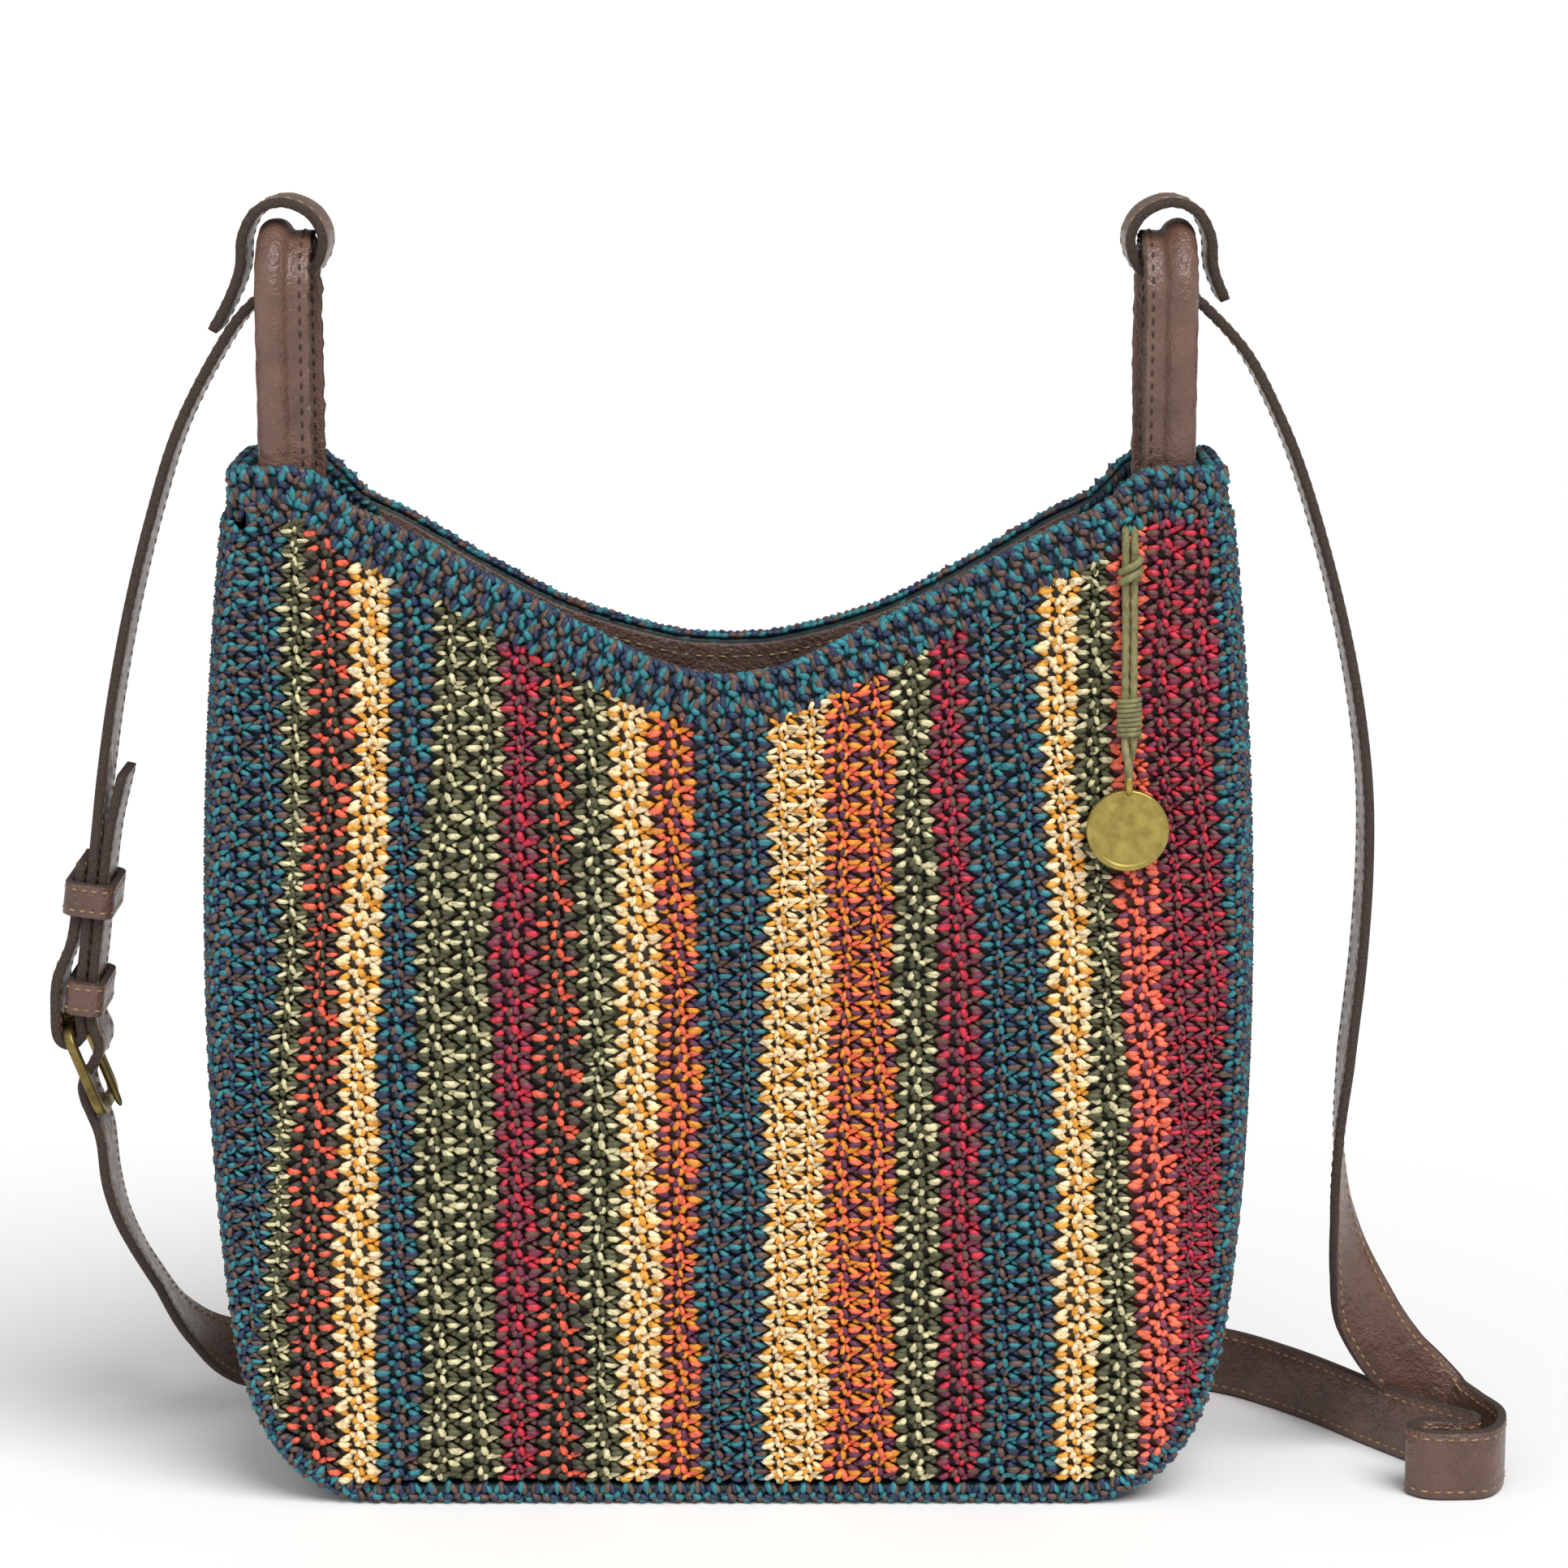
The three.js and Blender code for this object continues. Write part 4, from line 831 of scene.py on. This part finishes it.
def gussetBand():
    plies = []
    line, = resample(seamLine, stitch["high"])
    n = len(line)
    run = tangents(line)
    outN = outward(run)
    reach = halfDepth(line[:, 0], line[:, 1]) - band["short"]
    out = np.stack([outN[:, 0], np.zeros(n), outN[:, 1]], 1)
    up = np.stack([run[:, 0], np.zeros(n), run[:, 1]], 1)
    for k in range(band["columns"]):
        mix = rng.integers(0, 3, n)
        for u, v, length, width, turn, lift, ply in stitch["plain"]:
            y = band["start"] + k * stitch["wide"] + u + rng.normal(0, band["jitter"], n)
            spot = line + run * v
            keep = (np.abs(y) < reach) & (spot[:, 1] < body["topZ"] + 1)
            lower = band["sink"] - lift + np.clip(-outN[:, 1], 0, 1) * band["baseSink"]
            away = gussetBulge(spot[:, 1]) * (1 - (y / reach) ** 2) - lower
            place = np.stack([spot[:, 0] + outN[:, 0] * away, y, spot[:, 1] + outN[:, 1] * away], 1)
            angle = np.radians(turn + rng.normal(0, band["sway"], n))[:, None]
            direction = np.array([0, 1.0, 0]) * np.sin(angle) + up * np.cos(angle)
            scale = rng.normal(1, 0.06, n)
            row = (place, direction, out, length * scale, width * scale, np.full(n, band["height"]), (ply + mix) % 3)
            plies.append([a[keep] for a in row])
    crochet("gussetCrochet", plies, "teal", 4)
    # the gusset's ground sheet is painted shade: dark teal standing in for the shadow between its plies
    line, = resample(seamLine, band["groundStep"])
    run = tangents(line)
    outN = outward(run)
    # both ends tuck up inside the rim
    line = np.vstack([line[:1] - band["tuck"] * run[:1], line, line[-1:] + band["tuck"] * run[-1:]])
    outN = np.vstack([outN[:1], outN, outN[-1:]])
    across = np.linspace(-1, 1, band["groundCols"])
    y = across[None] * (halfDepth(line[:, 0], line[:, 1])[:, None] - band["groundShort"])
    away = gussetBulge(line[:, 1])[:, None] * (1 - across[None] ** 2) - band["groundSink"]
    away[[0, -1]] = -band["tuckSink"]
    verts = np.stack([line[:, :1] + outN[:, :1] * away, y, line[:, 1:] + outN[:, 1:] * away], -1).reshape(-1, 3)
    return addMesh("gussetPaintedShadeGround", verts, gridFaces(len(line), band["groundCols"]), [paintedShadeGroundMat], body="bag")


gussetPaintedShadeGround = gussetBand()
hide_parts("gusset")


# edges: the same stitch, worked in single columns that bend round the edge
def stitchColumn(plies, origin, up, across, out, wide, bend, scale, stretch):
    n = len(origin)
    mix = rng.integers(0, 3, n)
    parts = []
    for u, v, length, width, turn, lift, ply in plies:
        bow = ((u - 3.1) * wide / stitch["wide"] + rng.normal(0, 0.15, n))[:, None] / bend
        face = out * np.cos(bow) + across * np.sin(bow)
        side = across * np.cos(bow) - out * np.sin(bow)
        rise = (v * stretch + rng.normal(0, 0.2, n))[:, None]
        place = origin + up * rise + (face - out) * bend + face * (lift - 1.0)
        angle = np.radians(turn + rng.normal(0, 9, n))[:, None]
        grow = rng.normal(scale, 0.06, n)
        parts.append((place, side * np.sin(angle) + up * np.cos(angle), face, length * grow, width * grow,
                np.full(n, scale), (ply + mix) % 3))
    return parts


def seamBraid(label, side, node):
    look = {"inset": 3.2, "radius": 2.8, "pitch": 4.6, "wide": 8.4, "core": 1.9, "stretch": 0.93}
    flatLine, = resample(seamLine, look["pitch"])
    out2 = outward(tangents(flatLine))
    depth = halfDepth(flatLine[:, 0], flatLine[:, 1])
    core = flatLine - out2 * look["inset"]
    line = np.stack([core[:, 0], side * (depth - look["radius"]), core[:, 1]], 1)
    out = unit(np.stack([out2[:, 0], np.full(len(line), side * 1.3), out2[:, 1]], 1))
    run = tangents(line)
    cross = unit(np.cross(out, run))
    parts = stitchColumn(stitch["plain"], line + out * look["radius"], run, cross, out, look["wide"], look["radius"],
            1.0, look["stretch"])
    crochet(label, parts, "teal", 5)
    # the core tube is painted shade: the dark teal ground colour fills the shadow under the chain
    base = sweep(label + "PaintedShadeCore", line, out, cross, ringShape * look["core"], [paintedShadeGroundMat])
    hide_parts(node)


seamBraid("frontSeamChain", -1, "front_seam_braid")
seamBraid("backSeamChain", 1, "back_seam_braid")


# plan of the mouth: straight runs bent by the belly, round corners
def planLoop(halfWidth, inset, heightAt, runs=120, turns=10):
    corner = body["corner"] - inset
    straight = halfWidth - body["corner"]
    pts = []
    for side in (-1, 1):
        x = -side * np.linspace(-straight, straight, runs)
        z = heightAt(x, side)
        run = np.stack([x, side * (halfDepth(x, z) - inset), z], 1)
        pts += list(run)
        endY = run[-1][1]
        for half in (0, 1):
            angles = np.linspace(0, math.pi / 2, turns + 1)[1:]
            for a in (angles if half == 0 else angles[::-1]):
                x = -side * (straight + corner * math.sin(a))
                y = endY - side * corner * (1 - math.cos(a))
                sign = 1 if half == 0 else -1
                pts.append(np.array([x, y * sign, float(heightAt(np.array(x), side * sign))]))
    return np.array(pts)


def closedRun(points, step):
    ring = np.vstack([points, points[:1]])
    line, = resample(ring, step)
    run = tangents(line, True)
    out = unit(np.stack([run[:, 1], -run[:, 0], np.zeros(len(run))], 1))
    return line, run, out, unit(np.cross(out, run))


# rows of the braided top: inset, drop, pitch, slant, half length, half width, lean of the face, lift
rim = {"rows": [(0.9, 0.4, 2.0, -36, 2.2, 0.9, 0.8, 0.3), (3.0, 0.4, 2.0, 36, 2.2, 0.9, 1.8, 0.1),
        (4.3, 3.2, 2.6, 40, 1.8, 0.7, -9, 0.2), (4.3, 5.8, 2.6, -40, 1.8, 0.7, -9, 0.2)], "columns": (4.2, 9.7),
        "wide": 6.2, "pitch": 4.6, "bend": 14, "scale": 1.05, "stretch": 0.93}


def rimEdging():
    levels = [(0.9, -11.6), (0.8, -4), (0.9, -1.8), (1.6, -0.9), (2.3, -0.7), (3.1, -0.9), (3.8, -1.8), (4.0, -6),
            (4.0, -11.6), (4.2, -19)]
    rings = [planLoop(body["topX"], inset, lambda x, s, d=drop: rimZ(x, s) + d) for inset, drop in levels]
    # the rim's ground rings are painted shade: dark teal standing in for the shadow between the edging plies
    base = addMesh("rimPaintedShadeGround", np.vstack(rings), gridFaces(len(rings), len(rings[0]), True), [paintedShadeGroundMat], body="bag")
    parts = []
    for inset, drop, pitch, slant, length, width, lean, lift in rim["rows"]:
        loop = planLoop(body["topX"], inset, lambda x, s, d=drop: rimZ(x, s) - d)
        line, run, out, up = closedRun(loop, pitch)
        face = -out if lean < -5 else unit(out + up * lean)
        side = unit(np.cross(face, run))
        n = len(line)
        angle = np.radians(slant + rng.normal(0, 6, n))[:, None]
        direction = run * np.cos(angle) + side * np.sin(angle)
        ply = rng.choice([0, 0, 1, 1, 2], n)
        scale = rng.normal(1, 0.07, n)
        place = line + face * lift + rng.normal(0, 0.1, (n, 3))
        parts.append((place, direction, face, length * scale, width * scale, np.full(n, 0.9), ply))
    for drop in rim["columns"]:
        line, run, out, up = closedRun(planLoop(body["topX"], 0.4, lambda x, s, d=drop: rimZ(x, s) - d), rim["pitch"])
        parts += stitchColumn(stitch["edge"], line + out * 0.6, run, up, out, rim["wide"], rim["bend"], rim["scale"],
                rim["stretch"])
    crochet("rimCrochet", parts, "teal", 5)
    return base


rimBase = rimEdging()
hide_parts("rim_edging")
print("edges crocheted")

# inside: leather facings under the rim and a cloth lining
facing = {"half": 90.0, "drop": 30.0, "thick": 1.4, "gap": 4.9, "stitch": 3.2, "stitchDrop": 3.4, "stitchIn": 1.45}
facingMats = [leatherMaterial("facingLeather", "5a4338", 0.5), rawEdgeMaterial("facingEdge", "453a34")]


def facingStrip(name, side, node):
    x = np.linspace(-facing["half"], facing["half"], 91)
    top = rimZ(x, side) - 2
    rows = []
    steps, thick = np.linspace(0.1, 0.9, 7), facing["thick"]
    back = [(1, 0), (0.98, 0)] + [(s, 0) for s in steps[::-1]] + [(0, 0)]
    front = [(0, thick)] + [(s, thick) for s in steps] + [(0.98, thick), (1, thick - 0.2)]
    for share, inset in back + front:
        z = top - (facing["drop"] - 2) * (1 - share)
        ripple = 0.12 * np.sin(x / 7 + share * 4) + 0.1 * np.sin(x / 3.1)
        rows.append(np.stack([x, side * (halfDepth(x, z) - facing["gap"] - inset - ripple * (inset > 0)), z], 1))
    strip = addMesh(name, np.vstack(rows), gridFaces(len(rows), len(x), False, True), facingMats, None, "bag")
    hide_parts(node)
    z = top - facing["stitchDrop"]
    c, = resample(np.stack([x, side * (halfDepth(x, z) - facing["gap"] - facing["stitchIn"]), z], 1),
            facing["stitch"])
    out = np.tile([0.0, -side, 0.0], (len(c), 1))
    threadRow(name + "Stitches", c, tangents(c), out, (1.2, 0.34, 0.3), thread, "bag")


facingStrip("facingFrontLeather", -1, "facing_front")
facingStrip("facingBackLeather", 1, "facing_back")


def clothMaterial(name, code):
    mat, tree, shader = newMaterial(name)
    coords = objectCoords(tree)
    weave = tree.nodes.new("ShaderNodeTexWave")
    setSockets(tree, weave, {"Scale": 420, "Distortion": 1.5, "Vector": coords})
    tone = rampNode(tree, noiseNode(tree, coords, 300, 4), tones(code, (0.3, 0.7), (0.7, 1.15)))
    bump = bumpNode(tree, weave.outputs["Fac"], 0.4, 0.0002)
    setSockets(tree, shader, {"Base Color": tone, "Normal": bump, "Roughness": 0.9})
    return mat


lining = {"inset": 5.4, "rows": 40, "top": 33.0}
liningRings = []
for r in range(lining["rows"]):
    share = (r / (lining["rows"] - 1)) ** 1.2
    level = lambda x, s, k=share: lining["inset"] + 1 + (rimZ(x, s) - lining["top"] - lining["inset"] - 1) * k
    halfWidth = float(insetHalf(level(np.array(131.0), -1), lining["inset"])) + lining["inset"]
    ring = planLoop(halfWidth, lining["inset"], level, 60, 6)
    fold = 0.7 * np.sin(ring[:, 0] / 11 + share * 5) * np.sin(share * 3.1)
    ring[:, 1] -= np.sign(ring[:, 1]) * np.abs(fold)
    liningRings.append(ring)
count = len(liningRings[0])
liningFaces = gridFaces(lining["rows"], count, True).tolist()
half = count // 2
liningFaces += [[i, i + 1, count - 2 - i, count - 1 - i] for i in range(half - 1)]
liningCloth = addMesh("liningCloth", np.vstack(liningRings), liningFaces, [clothMaterial("liningWeave", "4a382e")],
        body="bag")
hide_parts("lining")
print("inside made")

# rolled leather handles with a stitched flange
handle = {"x": 112.4, "radius": 4.2, "flange": 5.2, "thick": 2.6, "gap": 14.9, "archZ": 310.4, "footZ": 243.0,
        "stitch": 3.2, "stitchIn": 7.1, "stitchOut": 1.32}
handleMats = [leatherMaterial("handleLeather", "6b4e42", 0.3, 0.7), rawEdgeMaterial("handleRawEdge", "54453c")]


def handleLine():
    legZ = np.linspace(handle["footZ"], handle["archZ"], 40)
    angle = np.linspace(math.pi, 0, 44)[1:-1]
    y = np.concatenate([np.full(40, -handle["gap"]), handle["gap"] * np.cos(angle), np.full(40, handle["gap"])])
    z = np.concatenate([legZ, handle["archZ"] + handle["gap"] * np.sin(angle), legZ[::-1]])
    out = np.concatenate([np.tile([-1.0, 0], (40, 1)), np.stack([np.cos(angle), np.sin(angle)], 1),
            np.tile([1.0, 0], (40, 1))])
    return y, z, out


def handleCover(name, side, node):
    y, z, outYZ = handleLine()
    n = len(y)
    line = np.stack([np.full(n, side * handle["x"]), y, z], 1)
    wide = np.tile([-side * 1.0, 0, 0], (n, 1))
    thick = np.stack([np.zeros(n), outYZ[:, 0], outYZ[:, 1]], 1)
    r, t, far = handle["radius"], handle["thick"] / 2, handle["radius"] + handle["flange"]
    points = [(far - 0.9, t * 0.98), (far - 0.25, t * 0.95), (far, t * 0.6), (far - 0.1, 0.15), (far - 0.7, 0),
            (far - 0.1, -0.15), (far, -t * 0.6), (far - 0.25, -t * 0.95), (far - 0.9, -t * 0.98), (far - 2.6, -t),
            (r + 0.9, -t * 0.9), (r + 0.2, -t * 0.95)]
    mat = [0, 1, 1, 1, 1, 1, 1, 0, 0, 0, 0, 0]
    lip = math.asin(t / r) + 0.12
    for a in np.linspace(-lip, -2 * math.pi + lip, 25):
        points.append((r * math.cos(a), r * math.sin(a)))
        mat.append(0)
    points += [(r + 0.2, t * 0.95), (r + 0.9, t * 0.9), (far - 2.6, t)]
    mat += [0, 0, 0]
    points, mat = points[::-1], mat[::-1]
    gen = np.random.default_rng(21 + side)

    def wrinkle(shape):
        rows = np.arange(n)[:, None]
        angle = np.arctan2(shape[..., 1], shape[..., 0])
        wave = sum(np.sin(rows * gen.uniform(0.5, 2.2) + gen.uniform(0, 6) + angle * gen.uniform(-1, 1))
                for _ in range(6)) / 6
        rag = gen.normal(0, 0.16, (n, 1)) * (shape[..., 0] > far - 0.9)
        grown = shape + unit(shape) * (wave * 0.2)[..., None]
        grown[..., 0] += rag
        return grown

    if side < 0:
        points, mat = points[::-1], mat[::-1]
    cover = sweep(name, line, wide, thick, points, handleMats, mat, False, "bag", wrinkle)
    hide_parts(node)
    c, d, o = resample(line, handle["stitch"], tangents(line), thick)
    row = c + np.array([-side * handle["stitchIn"], 0, 0])
    pts = np.vstack([row + o * handle["stitchOut"], row - o * handle["stitchOut"]])
    threadRow(name + "Stitches", pts, np.vstack([d, d]), np.vstack([o, -o]), (1.3, 0.36, 0.32), darkThread, "bag")


handleCover("handleLeftLeather", -1, "handle_cover_left")
handleCover("handleRightLeather", 1, "handle_cover_right")
coreMat = yarnMaterial("handleCoreCord", "b9a888")
for node in ("handle_core_left", "handle_core_right"):
    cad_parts[node].data.materials.clear()
    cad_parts[node].data.materials.append(coreMat)
print("handles made")

# floor and soft studio light
floorMat, floorTree, floorShader = newMaterial("paleFloor")
setSockets(floorTree, floorShader, {"Base Color": (0.9, 0.9, 0.9, 1), "Roughness": 0.9, "Specular IOR Level": 0.1})
floorMesh = bpy.data.meshes.new("studioFloor")
floorMesh.from_pydata([(-40, -40, 0), (40, -40, 0), (40, 40, 0), (-40, 40, 0)], [], [[0, 1, 2, 3]])
floorMesh.materials.append(floorMat)
floor = bpy.data.objects.new("studioFloor", floorMesh)
scene.collection.objects.link(floor)

world = bpy.data.worlds.new("softRoom")
world.use_nodes = True
setSockets(world.node_tree, world.node_tree.nodes["Background"], {"Color": (1.0, 0.99, 0.98, 1), "Strength": 0.34})
scene.world = world
for name, aim, energy, spread in (("keyLight", (-0.55, 0.8, -1.4), 2.6, 40),
        ("fillLight", (0.8, 0.7, -0.8), 0.75, 70)):
    lamp = bpy.data.lights.new(name, "SUN")
    lamp.energy = energy
    lamp.angle = math.radians(spread)
    obj = bpy.data.objects.new(name, lamp)
    obj.rotation_euler = Vector(aim).to_track_quat("-Z", "Y").to_euler()
    scene.collection.objects.link(obj)
print("floor and lights set")
